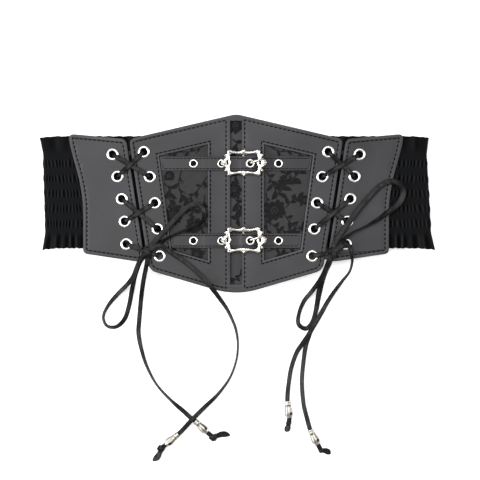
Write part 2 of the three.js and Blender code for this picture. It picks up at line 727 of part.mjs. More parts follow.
// The lace through all ten eyelets of one side, both its ends in the knot.
function lacing(name, { hand, knot, over, frontExit, sideExit }) {
  const [front, side] = ["front", "side"].map((column) => eyeletCentres(hand, column));
  const isOver = (a, b) => (over === "front") === ((a.column === "front" ? a.row : b.row) % 2 === 0);
  const hole = (column, row) => ({ column, row, ...(column === "front" ? front : side)[row] });
  const order = [
    hole("side", 4), hole("side", 3), hole("front", 2), hole("front", 1), hole("side", 0),
    hole("front", 0), hole("side", 1), hole("side", 2), hole("front", 3), hole("front", 4),
  ];
  const rimTop = panelThickness + clearance + eyeletRise;
  const overRim = rimTop + clearance + laceThickness / 2;
  const onPanel = panelThickness + clearance + laceThickness / 2;
  const behind = -eyeletTail - clearance - laceSlack - laceThickness / 2;
  const onRim = (eyeletHole + eyeletFlange) / 2;
  const points = [];
  const across = [];
  const put = (x, y, z, direction) => {
    points.push(new THREE.Vector3(x, y, z + undersideAt(x)));
    const sideways = new THREE.Vector3(-direction.y, direction.x, 0);
    if (across.length && sideways.dot(across.at(-1)) < 0) sideways.negate();
    across.push(sideways);
  };
  const toward = (a, b) => new THREE.Vector2(b.x - a.x, b.y - a.y).normalize();
  const fromKnot = (degrees) => {
    const angle = THREE.MathUtils.degToRad(degrees);
    return { x: knot[0] + knotRadius[0] * Math.cos(angle), y: knot[1] + knotRadius[0] * Math.sin(angle) };
  };
  const knotLevel = knot[2] - knotRadius[2] * 0.3 - undersideAt(knot[0]);

  // A strand on top of the panels, leaving one eyelet and entering the next
  const topStrand = (a, b, lift) => {
    const d = toward(a, b);
    const at = (p, step, z) => put(p.x + d.x * step, p.y + d.y * step, z, d);
    at(a, laceTurn, rimTop + laceSlack);
    at(a, onRim, overRim + laceSlack);
    at({ x: (a.x + b.x) / 2, y: (a.y + b.y) / 2 }, 0, onPanel + lift);
    at(b, -onRim, overRim + laceSlack);
    at(b, -laceTurn, rimTop + laceSlack);
  };
  const backStrand = (a, b) => {
    const d = toward(a, b);
    const at = (p, step, z) => put(p.x + d.x * step, p.y + d.y * step, z, d);
    at(a, laceTurn, behind + laceThickness / 2);
    at(a, eyeletHole, behind);
    at(b, -eyeletHole, behind);
    at(b, -laceTurn, behind + laceThickness / 2);
  };
  // The strand between the knot and the lowest eyelet of a column
  const knotStrand = (lowest, exit, leaving) => {
    const start = fromKnot(exit);
    const d = toward(start, lowest);
    const direction = leaving ? d : d.clone().negate();
    const stations = [
      { ...start, step: -knotRadius[0], z: knotLevel },
      { ...start, step: 0, z: knotLevel },
      { ...lowest, step: -onRim, z: overRim + laceSlack },
      { ...lowest, step: -laceTurn, z: rimTop + laceSlack },
      { ...lowest, step: 0, z: panelThickness / 2 },
    ];
    for (const { x, y, step, z } of leaving ? stations : stations.reverse()) {
      put(x + d.x * step, y + d.y * step, z, direction);
    }
  };
  knotStrand(order[0], sideExit, true);
  for (let i = 0; i + 1 < order.length; i++) {
    const [a, b] = [order[i], order[i + 1]];
    const crosses = a.column !== b.column && Math.max(a.row, b.row) > 0;
    if (crosses) topStrand(a, b, isOver(a, b) ? laceThickness + clearance + crossingLift : 0);
    else backStrand(a, b);
  }
  knotStrand(order.at(-1), frontExit, false);
  const cord = solidOf(strip({ points, across }, laceWidth, laceThickness, 4));
  return node(name, geometryOf(cord.add(solidOf(knotBall(knot, knotRadius)))), cordLeather);
}

// Routes of the free laces, chosen by hand: x, y, z and the degrees by which the flat lace is rolled over.
// Each starts inside its knot; a tail ends inside its end knot, and a loop comes back to its knot.
const routes = {
  left_loop_up: [
    [-85.4, -46.6, 25.5, 0], [-79.6, -38.6, 25.8, 0], [-71.6, -29.6, 26.0, 0], [-61.6, -18.6, 25.6, 0],
    [-53.2, -9.6, 25.6, 0], [-46.6, -3.6, 25.5, 0], [-39.7, -0.9, 25.6, 0], [-33.5, -3.2, 25.7, 0],
    [-30.4, -9.3, 25.8, 0], [-32.1, -15.8, 25.7, 0], [-38.4, -20.6, 25.6, 0], [-48.3, -24.8, 25.3, 0],
    [-60.4, -30.4, 24.8, 0], [-69.6, -35.6, 24.6, 0], [-77.4, -41.0, 24.4, 0], [-85.4, -46.6, 24.4, 0],
  ],
  left_loop_down: [
    [-85.4, -46.6, 26.4, 0], [-91.2, -52.6, 25.8, 0], [-94.8, -60.0, 24.0, 0], [-98.6, -69.6, 17.6, 0],
    [-105.0, -78.2, 9.8, 0], [-114.0, -87.0, 3.8, 20], [-123.4, -98.2, 1.9, 35], [-128.2, -109.4, 1.7, 30],
    [-124.6, -118.0, 1.3, 10], [-115.6, -118.8, 1.0, 0], [-107.6, -111.2, 1.0, 0], [-103.4, -98.8, 1.1, 0],
    [-100.8, -85.4, 2.8, 0], [-98.2, -73.6, 9.4, 0], [-95.0, -63.6, 17.8, 0], [-92.0, -56.6, 22.9, 0],
    [-85.4, -46.6, 23.5, 0],
  ],
  left_tail_inner: [
    [-84.6, -46.6, 25.2, 0], [-85.0, -54.8, 24.3, 0], [-86.4, -62.0, 22.4, 0], [-88.2, -70.0, 16.0, 0],
    [-89.9, -79.1, 8.2, 0], [-91.4, -89.0, 2.6, 0], [-92.6, -101.6, 0.9, 0], [-93.6, -113.6, 0.9, 0],
    [-94.2, -124.4, 0.9, 0], [-91.8, -138.6, 1.3, 20], [-86.4, -156.2, 1.8, 45], [-76.6, -174.8, 1.8, 45],
    [-62.4, -190.2, 1.3, 20], [-50.4, -200.6, 1.4, 0], [-44.0, -206.4, 2.6, 0], [-39.4, -209.8, 3.75, 0],
    [-32.8, -215.8, 3.75, 0], [-26.2, -221.9, 3.75, 0], [-22.4, -225.4, 3.4, 0],
  ],
  left_tail_outer: [
    [-85.4, -46.6, 27.2, 0], [-79.8, -42.8, 27.6, 0], [-72.8, -40.4, 27.0, 0], [-66.6, -44.0, 26.2, 0],
    [-57.0, -50.6, 25.2, 0], [-47.0, -57.4, 25.2, 0], [-32.2, -70.6, 25.7, 0], [-21.4, -83.4, 26.0, 10],
    [-14.8, -92.4, 21.0, 20], [-8.6, -101.6, 14.0, 35], [-3.6, -112.0, 6.6, 50], [-0.2, -121.6, 2.8, 60],
    [1.7, -134.6, 2.3, 70], [0.3, -150.4, 2.3, 70], [-5.8, -167.5, 2.2, 60], [-17.3, -183.6, 2.0, 40],
    [-30.4, -196.4, 3.4, 15], [-38.6, -204.4, 5.4, 0], [-44.6, -210.6, 5.2, 0], [-50.6, -217.2, 4.0, 0],
    [-55.6, -222.2, 3.75, 0], [-62.0, -227.6, 3.75, 0], [-68.2, -232.9, 3.75, 0], [-72.0, -235.6, 3.4, 0],
  ],
  right_loop_up: [
    [92.6, -47.3, 25.8, 0], [94.0, -39.4, 25.6, 0], [98.4, -31.6, 24.6, 0], [104.0, -24.0, 23.6, 0],
    [116.4, -7.2, 22.6, 0], [130.6, 9.0, 20.2, 0], [139.6, 17.4, 18.9, 0], [148.5, 21.2, 18.0, 0],
    [156.8, 19.0, 16.9, 10], [161.2, 11.4, 15.6, 10], [157.4, 1.4, 15.9, 10], [148.6, -6.4, 17.9, 0],
    [136.6, -15.0, 19.2, 0], [122.4, -23.0, 21.2, 0], [111.6, -27.8, 23.0, 0], [104.8, -33.2, 25.0, 0],
    [99.6, -39.2, 25.5, 0], [92.6, -47.3, 25.2, 0],
  ],
  right_loop_down: [
    [92.6, -47.3, 26.8, 0], [88.2, -56.6, 26.2, 0], [84.8, -65.8, 20.7, 0], [80.0, -74.8, 13.0, 0],
    [73.2, -84.4, 6.2, 10], [65.6, -94.0, 2.6, 30], [60.6, -106.6, 1.8, 45], [60.4, -116.4, 1.5, 25],
    [67.0, -120.6, 1.0, 0], [73.0, -115.6, 1.0, 0], [77.4, -102.4, 1.1, 0], [80.2, -88.4, 1.9, 0],
    [83.6, -73.6, 8.6, 0], [87.2, -63.0, 17.6, 0], [90.0, -56.6, 22.8, 0], [92.6, -47.3, 23.3, 0],
  ],
  right_tail_inner: [
    [92.6, -47.3, 25.0, 0], [89.0, -56.6, 24.5, 0], [85.4, -65.8, 18.4, 0], [81.6, -75.6, 10.4, 0],
    [79.6, -86.0, 5.0, 0], [78.2, -95.6, 3.0, 0], [76.6, -105.4, 2.7, 0], [74.0, -116.6, 2.6, 0],
    [70.8, -126.6, 1.4, 0], [67.6, -136.4, 0.9, 0], [65.2, -151.6, 1.4, 25], [63.6, -171.2, 1.6, 30],
    [65.2, -193.4, 1.6, 30], [68.8, -208.4, 2.5, 10], [71.6, -218.1, 3.75, 0], [75.6, -225.7, 3.75, 0],
    [79.5, -233.3, 3.75, 0], [81.6, -237.2, 3.3, 0],
  ],
  right_tail_outer: [
    [92.6, -47.3, 26.8, 0], [98.8, -43.4, 27.3, 0], [104.4, -39.4, 26.4, 0], [108.8, -41.0, 24.9, 0],
    [110.8, -47.4, 23.2, 10], [111.4, -56.2, 21.7, 20], [109.0, -65.6, 16.0, 35], [103.0, -73.8, 9.2, 35],
    [95.4, -84.0, 3.4, 30], [88.2, -95.0, 1.8, 20], [82.8, -104.6, 3.2, 0], [78.6, -111.8, 4.4, 0],
    [74.2, -119.2, 4.4, 0], [69.6, -127.0, 3.4, 0], [64.4, -134.6, 2.5, 0], [58.6, -143.6, 1.2, 10],
    [53.2, -159.0, 1.5, 25], [50.7, -174.6, 1.6, 25], [49.8, -183.0, 2.4, 10], [49.6, -190.6, 3.75, 0],
    [50.5, -198.6, 3.75, 0], [51.4, -206.6, 3.75, 0], [51.0, -211.0, 3.3, 0],
  ],
};

// Where each bead starts and ends on its tail, and the lace's end beyond it
const tailEnds = {
  left_tail_inner: { bead: [[-39.4, -209.8], [-26.2, -221.9]], knot: [-22.0, -225.6], tip: [-5.8, -223.4] },
  left_tail_outer: { bead: [[-55.6, -222.2], [-68.2, -232.9]], knot: [-72.4, -236.4], tip: [-80.4, -248.2] },
  right_tail_inner: { bead: [[71.6, -218.1], [79.5, -233.3]], knot: [82.0, -238.0], tip: [91.2, -241.6] },
  right_tail_outer: { bead: [[49.6, -190.6], [51.4, -206.6]], knot: [50.8, -212.0], tip: [47.4, -219.8] },
};

const beadHeight = beadRadius * beadFlatness + lift;

function endKnotRadii(name) {
  return name.startsWith("right") ? endKnotRadius.map((r) => r * rightKnotShare) : endKnotRadius;
}

function endKnotCentre(name) {
  return [...tailEnds[name].knot, endKnotRadii(name)[2] + lift];
}

function freeLace(name, route) {
  const points = route.map(([x, y, z]) => new THREE.Vector3(x, y, z));
  const { knot } = lacings[name.split("_")[0]];
  const ending = tailEnds[name] ? [endKnotCentre(name), endKnotRadii(name)] : [knot, knotRadius];
  points[0] = clearOfKnot(points[0], points[1], knot, knotRadius);
  points[points.length - 1] = clearOfKnot(points.at(-1), points.at(-2), ...ending);
  const across = points.map((point, i) => {
    const before = points[Math.max(i - 1, 0)];
    const tangent = points[Math.min(i + 1, points.length - 1)].clone().sub(before).normalize();
    const level = new THREE.Vector3(-tangent.y, tangent.x, 0).normalize();
    return level.applyAxisAngle(tangent, THREE.MathUtils.degToRad(route[i][3]));
  });
  return node(name, strip({ points, across }, laceWidth, laceThickness, 8), cordLeather);
}

// A cast bead: a narrow collar, a grooved neck and a rounded head.
function bead(name, [[x0, y0], [x1, y1]]) {
  // Along it as a share of its length, with the share of its largest radius there
  const profile = [
    { along: 0, share: 0.7 },
    { along: 0.21, share: 0.74 },
    { along: 0.26, share: 0.69 },
    { along: 0.6, share: 1 },
    { along: 0.84, share: 0.93 },
    { along: 1, share: 0.69 },
  ].map(({ along, share }) => [beadRadius * share, beadLength * along]);
  profile.unshift([beadBore, 0]);
  profile.push([beadBore, beadLength]);
  const mesh = node(name, turned(profile, 8).scale(1, beadFlatness, 1), silver);
  const along = new THREE.Vector3(x1 - x0, y1 - y0, 0).normalize();
  const up = new THREE.Vector3(0, 0, 1);
  const basis = new THREE.Matrix4().makeBasis(up.clone().cross(along), up, along);
  mesh.setRotationFromMatrix(basis);
  mesh.position.set(x0, y0, beadHeight);
  return mesh;
}

function endKnot(name, tail) {
  const { tip } = tailEnds[tail];
  const centre = endKnotCentre(tail);
  const start = new THREE.Vector3(...centre);
  const end = new THREE.Vector3(tip[0], tip[1], laceThickness / 2 + lift);
  const middle = start.clone().lerp(end, 0.6).setZ(centre[2] * 0.6);
  const along = end.clone().sub(start).setZ(0).normalize();
  const across = [0, 1, 2].map(() => new THREE.Vector3(-along.y, along.x, 0));
  const stub = strip({ points: [start, middle, end], across }, laceWidth, laceThickness, 6);
  const ball = solidOf(knotBall(centre, endKnotRadii(tail)));
  return node(name, geometryOf(ball.add(solidOf(stub))), cordLeather);
}

const belt = new THREE.Group();
belt.add(frontPanel(), laceLining());
belt.add(sidePanel("side_panel_right"), elasticHalf("elastic_right"));
const leftHalf = new THREE.Group();
leftHalf.scale.x = -1;
leftHalf.add(sidePanel("side_panel_left"), elasticHalf("elastic_left"));
belt.add(leftHalf, backClosure(), ...lacingEyelets());

for (const [place, y] of Object.entries(strapHeights)) {
  belt.add(strap(`strap_${place}`, y), ...strapEyelets(place, y));
  belt.add(buckle(`buckle_${place}`, y), prong(`prong_${place}`, y));
}

for (const [hand, lace] of Object.entries(lacings)) belt.add(lacing(`lacing_${hand}`, lace));
for (const [name, route] of Object.entries(routes)) belt.add(freeLace(name, route));
for (const [tail, { bead: span }] of Object.entries(tailEnds)) {
  belt.add(bead(tail.replace("tail", "bead"), span));
  belt.add(endKnot(tail.replace("tail", "end_knot"), tail));
}

export default belt;
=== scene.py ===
"""Looks of a lace-up corset belt that lies flat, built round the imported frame. Metres, Z up."""

import logging
import math
from bisect import bisect_left
from collections.abc import Callable, Sequence
from dataclasses import dataclass, field
from enum import Enum
from random import Random

import bmesh
import bpy
from bmesh.types import BMEdge, BMesh, BMFace, BMVert
from mathutils import Matrix, Vector


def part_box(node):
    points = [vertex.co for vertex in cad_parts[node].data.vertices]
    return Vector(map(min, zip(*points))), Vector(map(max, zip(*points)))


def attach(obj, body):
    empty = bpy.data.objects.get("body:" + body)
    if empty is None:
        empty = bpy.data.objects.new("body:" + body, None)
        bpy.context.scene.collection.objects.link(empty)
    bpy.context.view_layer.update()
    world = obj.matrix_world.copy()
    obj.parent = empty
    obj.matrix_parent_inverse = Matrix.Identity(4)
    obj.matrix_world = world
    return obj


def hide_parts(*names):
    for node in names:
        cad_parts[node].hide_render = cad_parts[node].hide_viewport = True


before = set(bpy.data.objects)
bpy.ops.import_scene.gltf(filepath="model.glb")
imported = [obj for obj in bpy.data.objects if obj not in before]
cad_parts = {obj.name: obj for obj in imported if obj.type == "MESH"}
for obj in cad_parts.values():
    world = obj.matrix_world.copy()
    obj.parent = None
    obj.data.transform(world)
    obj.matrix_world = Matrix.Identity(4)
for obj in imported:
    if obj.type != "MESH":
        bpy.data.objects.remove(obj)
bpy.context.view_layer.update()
LOG = logging.getLogger("corset_belt")

Colour = tuple[float, float, float]
UP = Vector((0, 0, 1))
# Vertex attribute that carries painted shade and painted highlight
TONE = "tone"


class Wire:
    """A shader value that takes part in Python arithmetic by adding Math nodes."""

    def __init__(self, shader: "Shader", socket: bpy.types.NodeSocket) -> None:
        """Wraps an output socket of a shader's node."""
        self.shader = shader
        self.socket = socket

    def _math(self, operation: str, *values: "Wire | float") -> "Wire":
        """Adds one Math node.

        Args:
            operation: The node's operation.
            values: Its inputs, in order.

        Returns:
            Its value.
        """
        inputs = dict(enumerate(values))
        return self.shader.add("ShaderNodeMath", {"operation": operation}, inputs)

    def __add__(self, other: "Wire | float") -> "Wire":
        """Sum."""
        return self._math("ADD", self, other)

    def __radd__(self, other: float) -> "Wire":
        """Sum with a plain number first."""
        return self._math("ADD", other, self)

    def __sub__(self, other: "Wire | float") -> "Wire":
        """Difference."""
        return self._math("SUBTRACT", self, other)

    def __rsub__(self, other: float) -> "Wire":
        """Difference from a plain number."""
        return self._math("SUBTRACT", other, self)

    def __mul__(self, other: "Wire | float") -> "Wire":
        """Product."""
        return self._math("MULTIPLY", self, other)

    def __rmul__(self, other: float) -> "Wire":
        """Product with a plain number first."""
        return self._math("MULTIPLY", other, self)

    def __pow__(self, other: float) -> "Wire":
        """Power."""
        return self._math("POWER", self, other)

    def sine(self) -> "Wire":
        """Sine of the value in radians."""
        return self._math("SINE", self)

    def above(self, other: "Wire | float") -> "Wire":
        """1 where the value is greater than the other, and 0 elsewhere."""
        return self._math("GREATER_THAN", self, other)

    def larger(self, other: "Wire | float") -> "Wire":
        """The larger of two values."""
        return self._math("MAXIMUM", self, other)


class Shader:
    """One material with its principled surface."""

    def __init__(self, name: str) -> None:
        """Makes an empty material of that name with a surface and an output."""
        self.material = bpy.data.materials.new(name)
        self.material.use_nodes = True
        self.tree = self.material.node_tree
        self.tree.nodes.clear()
        self.surface = self.tree.nodes.new("ShaderNodeBsdfPrincipled")
        output = self.tree.nodes.new("ShaderNodeOutputMaterial")
        self.tree.links.new(self.surface.outputs[0], output.inputs[0])

    def add(self, kind: str, settings: dict, inputs: dict, output: int | str = 0) -> Wire:
        """Adds any node.

        Args:
            kind: The node's type.
            settings: Its own settings; "stops" are a colour ramp's (place, colour) pairs.
            inputs: Values or wires of its sockets, by name or number.
            output: The output socket to use.

        Returns:
            The node's output.
        """
        node = self.tree.nodes.new(kind)
        for name, value in settings.items():
            if name == "stops":
                for stop, (place, colour) in zip(self._stops(node, len(value)), value):
                    stop.position = place
                    stop.color = (*colour, 1)
            else:
                setattr(node, name, value)
        for name, value in inputs.items():
            self._feed(node.inputs[name], value)
        return Wire(self, node.outputs[output])

    def _stops(self, node: bpy.types.Node, count: int) -> list:
        """Gives a colour ramp that many stops and returns them."""
        elements = node.color_ramp.elements
        while len(elements) < count:
            elements.new(1)
        return list(elements)

    def _feed(self, socket: bpy.types.NodeSocket, value: object) -> None:
        """Links a wire to a socket, or sets the socket's own value."""
        if isinstance(value, Wire):
            self.tree.links.new(value.socket, socket)
        else:
            socket.default_value = value

    def set(self, **sockets: object) -> None:
        """Feeds the surface's sockets; an underscore in a name stands for a space."""
        for name, value in sockets.items():
            self._feed(self.surface.inputs[name.replace("_", " ")], value)

    def place(self) -> Wire:
        """The point's place on the object."""
        return self.add("ShaderNodeTexCoord", {}, {}, "Object")

    def noise(self, scale: float, detail: float = 2, place: "Wire | None" = None) -> Wire:
        """Noise from 0 to 1, scale cells to the metre."""
        inputs = {"Vector": place or self.place(), "Scale": scale, "Detail": detail}
        return self.add("ShaderNodeTexNoise", {}, inputs)

    def cells(self, scale: float, feature: str = "F1") -> Wire:
        """Distance in a cell pattern, scale cells to the metre."""
        inputs = {"Vector": self.place(), "Scale": scale}
        return self.add("ShaderNodeTexVoronoi", {"feature": feature}, inputs)

    def ramp(self, share: Wire, *colours: Colour) -> Wire:
        """A colour from an even row of colours, as a share from 0 to 1 says."""
        last = len(colours) - 1
        stops = {"stops": [(i / last, colour) for i, colour in enumerate(colours)]}
        return self.add("ShaderNodeValToRGB", stops, {"Fac": share})

    def tone(self) -> Wire:
        """The tone that the builders leave on the mesh: painted shade below 0 in hollows, painted highlight above 0 on
        rims.
        """
        return self.add("ShaderNodeAttribute", {"attribute_name": TONE}, {}, "Fac")

    def bump(self, height: Wire, strength: float, distance: float) -> Wire:
        """Surface relief from a height."""
        inputs = {"Height": height, "Strength": strength, "Distance": distance}
        return self.add("ShaderNodeBump", {}, inputs)


@dataclass(frozen=True)
class Leather:
    """Faux leather: a fine grain, a soft uneven sheen and slight clouding."""

    name: str
    # hollow is the colour of painted shade in grooves and on walls, rim the colour of painted highlight on rolled rims
    hollow: Colour = (0.004, 0.004, 0.0045)
    dark: Colour = (0.023, 0.0226, 0.0248)
    light: Colour = (0.038, 0.0372, 0.0408)
    rim: Colour = (0.078, 0.077, 0.083)
    roughness: float = 0.48
    grain: float = 1500
    gloss: float = 0.28

    def material(self) -> bpy.types.Material:
        """Builds the material."""
        shader = Shader(self.name)
        clouds = shader.noise(24, 3)
        grain = shader.cells(self.grain, "SMOOTH_F1")
        pores = shader.noise(self.grain * 2.2, 2)
        # The tone adds painted shade towards hollow and painted highlight towards rim; the clouds are the leather's own
        # uneven colour
        share = clouds * 0.8 + pores * 0.1 + shader.tone() * 0.5 + 0.04
        shader.set(Base_Color=shader.ramp(share, self.hollow, self.dark, self.light, self.rim))
        shader.set(Roughness=clouds * 0.16 + pores * 0.1 + (self.roughness - 0.13))
        shader.set(Normal=shader.bump(grain + pores * 0.6, 0.3, 0.0001))
        shader.set(Specular_IOR_Level=self.gloss)
        return shader.material


@dataclass(frozen=True)
class Elastic:
    """Matt black woven elastic with fine ribs along the band."""

    name: str
    hollow: Colour = (0.0004, 0.0004, 0.0005)
    dark: Colour = (0.0034, 0.0036, 0.0041)
    light: Colour = (0.0165, 0.0170, 0.0186)
    ribs: float = 5200

    def material(self) -> bpy.types.Material:
        """Builds the material."""
        shader = Shader(self.name)
        y = shader.add("ShaderNodeSeparateXYZ", {}, {0: shader.place()}, "Y")
        ribs = (y * self.ribs).sine() * 0.5 + 0.5
        fluff = shader.noise(2600, 3)
        # The tone paints shade into the slits and highlight on the ridges and the edge folds
        share = ribs * 0.08 + fluff * 0.3 + shader.tone() * 0.65 + 0.3
        shader.set(Base_Color=shader.ramp(share, self.hollow, self.dark, self.light))
        shader.set(Roughness=fluff * 0.2 + 0.7, Specular_IOR_Level=0.08)
        shader.set(Normal=shader.bump(ribs + fluff, 0.3, 0.0001))
        return shader.material


@dataclass(frozen=True)
class Satin:
    """Charcoal satin under a fine net of black thread."""

    name: str
    hollow: Colour = (0.0008, 0.0008, 0.001)
    dark: Colour = (0.0128, 0.0131, 0.0140)
    light: Colour = (0.025, 0.0254, 0.0272)
    mesh: float = 6200

    def material(self) -> bpy.types.Material:
        """Builds the material."""
        shader = Shader(self.name)
        x = shader.add("ShaderNodeSeparateXYZ", {}, {0: shader.place()}, "X")
        y = shader.add("ShaderNodeSeparateXYZ", {}, {0: shader.place()}, "Y")
        one = ((x + y * 0.6) * self.mesh).sine() * 0.5 + 0.5
        other = ((x - y * 0.6) * self.mesh).sine() * 0.5 + 0.5
        threads = (one.larger(other)) ** 6
        clouds = shader.noise(90, 3)
        # The tone paints shadow beside the upright edges that the sheet lies behind, and light and shade across it
        share = clouds * 0.6 - threads * 0.2 + shader.tone() * 0.5 + 0.42
        shader.set(Base_Color=shader.ramp(share, self.hollow, self.dark, self.light))
        shader.set(Roughness=threads * 0.3 + 0.42, Specular_IOR_Level=0.3)
        shader.set(Normal=shader.bump(threads, 0.4, 0.00012))
        return shader.material


@dataclass(frozen=True)
class Thread:
    """Black thread, dense and dull."""

    name: str
    dark: Colour = (0.0008, 0.0008, 0.001)
    light: Colour = (0.0035, 0.0035, 0.004)
    raised: Colour = (0.020, 0.020, 0.022)

    def material(self) -> bpy.types.Material:
        """Builds the material."""
        shader = Shader(self.name)
        twist = shader.noise(3200, 2)
        share = twist * 0.6 + shader.tone() * 0.6
        shader.set(Base_Color=shader.ramp(share, self.dark, self.light, self.raised))
        shader.set(Roughness=twist * 0.2 + 0.65, Specular_IOR_Level=0.1)
        shader.set(Normal=shader.bump(twist, 0.4, 0.0001))
        return shader.material


@dataclass(frozen=True)
class Metal:
    """Silver-coloured metal, with painted highlight on its high parts and painted brownish shade in its hollows."""

    name: str
    hollow: Colour = (0.030, 0.020, 0.014)
    dull: Colour = (0.50, 0.45, 0.39)
    bright: Colour = (0.90, 0.87, 0.82)
    roughness: float = 0.18

    def material(self) -> bpy.types.Material:
        """Builds the material."""
        shader = Shader(self.name)
        wear = shader.noise(900, 3)
        # The tone paints brownish shade into hollows and highlight onto high parts
        share = wear * 0.3 + shader.tone() * 0.6 + 0.62
        shader.set(Base_Color=shader.ramp(share, self.hollow, self.dull, self.bright), Metallic=1.0)
        shader.set(Roughness=wear * 0.08 + (self.roughness - 0.04))
        shader.set(Normal=shader.bump(wear, 0.05, 0.0001))
        return shader.material


class Finish(Enum):
    """The finishes of the belt's pieces."""

    PANEL = Leather("charcoal_faux_leather")
    STRAP = Leather(
        "strap_faux_leather", dark=(0.0165, 0.0162, 0.0180), light=(0.028, 0.0274, 0.0305), roughness=0.44
    )
    CORD = Leather(
        "lace_faux_leather", (0.0010, 0.0010, 0.0012), (0.0040, 0.0040, 0.0044), (0.0185, 0.0187, 0.0198),
        (0.058, 0.0583, 0.062), 0.42, 2400, 0.19,
    )
    BAND = Elastic("black_shirred_elastic")
    SATIN = Satin("charcoal_satin_and_net")
    MOTIF = Thread(
        "black_lace_thread", (0.0052, 0.0053, 0.0058), (0.0105, 0.0107, 0.0115), (0.030, 0.030, 0.032)
    )
    SEAM = Thread("black_seam_thread")
    CHROME = Metal(
        "bright_eyelet_metal", dull=(0.80, 0.79, 0.76), bright=(0.96, 0.96, 0.95), roughness=0.34,
        hollow=(0.004, 0.0035, 0.003),
    )
    CAST = Metal("cast_silver")
    BEAD = Metal("bead_silver", dull=(0.34, 0.32, 0.28), bright=(0.70, 0.68, 0.63), roughness=0.40)

    def material(self) -> bpy.types.Material:
        """The finish's material, built once."""
        return bpy.data.materials.get(self.value.name) or self.value.material()


@dataclass(frozen=True)
class Arch:
    """The shallow arc in which the front of the belt lies."""

    crown: float = 0.025
    radius: float = 1.35
    thickness: float = 0.002

    def underside(self, x: float) -> float:
        """Height of the leather's underside at x."""
        return self.crown - self.thickness - x * x / (2 * self.radius)

    def on_front(self, x: float, y: float, above: float) -> Matrix:
        """Place and tilt of something that sits on the front.

        Args:
            x: Across the belt.
            y: Up the belt.
            above: Height over the underside of the leather.

        Returns:
            The matrix that takes it there from the origin.
        """
        tilt = Matrix.Rotation(math.atan(x / self.radius), 4, "Y")
        return Matrix.Translation((x, y, self.underside(x) + above)) @ tilt


ARCH = Arch()


def finished(
    bm: BMesh, name: str, finish: Finish, nodes: Sequence[str] = (), sharp: float = 38
) -> bpy.types.Object:
    """Turns a bmesh into a piece of the belt.

    Args:
        bm: The mesh, in the row's frame.
        name: The piece's name.
        finish: Its material.
        nodes: CAD nodes that it stands for.
        sharp: Edges steeper than this many degrees stay sharp.

    Returns:
        The object.
    """
    mesh = bpy.data.meshes.new(name)
    bm.to_mesh(mesh)
    bm.free()
    mesh.polygons.foreach_set("use_smooth", [True] * len(mesh.polygons))
    mesh.set_sharp_from_angle(angle=math.radians(sharp))
    mesh.materials.append(finish.material())
    piece = bpy.data.objects.new(name, mesh)
    bpy.context.scene.collection.objects.link(piece)
    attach(piece, "root")
    if nodes:
        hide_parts(*nodes)
    LOG.info("%s: %d faces", name, len(mesh.polygons))
    return piece


def blank() -> BMesh:
    """An empty mesh whose vertices carry a tone for the finishes: painted shade and painted highlight."""
    bm = bmesh.new()
    bm.verts.layers.float.new(TONE)
    return bm


def shade(bm: BMesh, verts: Sequence[BMVert], tone: float) -> None:
    """Sets the tone of some vertices: painted shade below 0, painted highlight above 0."""
    layer = bm.verts.layers.float[TONE]
    for vert in verts:
        vert[layer] = tone


def join(bm: BMesh, part: BMesh) -> None:
    """Adds a small mesh to a bigger one and frees it."""
    mesh = bpy.data.meshes.new("part")
    part.to_mesh(mesh)
    part.free()
    bm.from_mesh(mesh)
    bpy.data.meshes.remove(mesh)


def only(kind: type, geometry: Sequence) -> list:
    """The elements of one kind in what a bmesh operator gives back."""
    return [element for element in geometry if isinstance(element, kind)]


def ring_edges(verts: Sequence[BMVert]) -> list[BMEdge]:
    """The edges that join these vertices."""
    chosen = set(verts)
    return [e for e in {e for v in verts for e in v.link_edges} if set(e.verts) <= chosen]


def fill_flat(bm: BMesh, edges: Sequence[BMEdge]) -> list[BMFace]:
    """Fills level outlines and leaves their holes open.

    Args:
        bm: The mesh.
        edges: Edges of the outer outline and of the holes.

    Returns:
        The new faces, facing up.
    """
    verts = list({v for e in edges for v in e.verts})
    enlarge = 1000.0
    bmesh.ops.scale(bm, verts=verts, vec=(enlarge, enlarge, enlarge))
    made = bmesh.ops.triangle_fill(bm, use_beauty=True, edges=list(edges), normal=UP)
    bmesh.ops.scale(bm, verts=verts, vec=(1 / enlarge, 1 / enlarge, 1 / enlarge))
    faces = only(BMFace, made["geom"])
    for face in faces:
        face.normal_update()
    bmesh.ops.reverse_faces(bm, faces=[f for f in faces if f.normal.z < 0])
    return faces


def spun(bm: BMesh, profile: Sequence[tuple[float, float]], steps: int) -> None:
    """Turns a closed profile of (radius, height) points round the upright axis."""
    verts = [bm.verts.new((r, 0, z)) for r, z in profile]
    edges = [bm.edges.new((verts[i - 1], verts[i])) for i in range(len(verts))]
    bmesh.ops.spin(
        bm, geom=verts + edges, cent=(0, 0, 0), axis=UP, angle=2 * math.pi, steps=steps, use_merge=True
    )
    bmesh.ops.recalc_face_normals(bm, faces=bm.faces)


def ball(bm: BMesh, centre: Vector, radii: tuple[float, float, float], turn: float = 0) -> None:
    """Adds a rounded lump.

    Args:
        bm: The mesh.
        centre: Its middle.
        radii: Half its size along x, y and z before it is turned.
        turn: Radians about the upright axis.
    """
    matrix = Matrix.LocRotScale(centre, Matrix.Rotation(turn, 3, "Z"), Vector(radii))
    bmesh.ops.create_uvsphere(bm, u_segments=12, v_segments=8, radius=1, matrix=matrix)


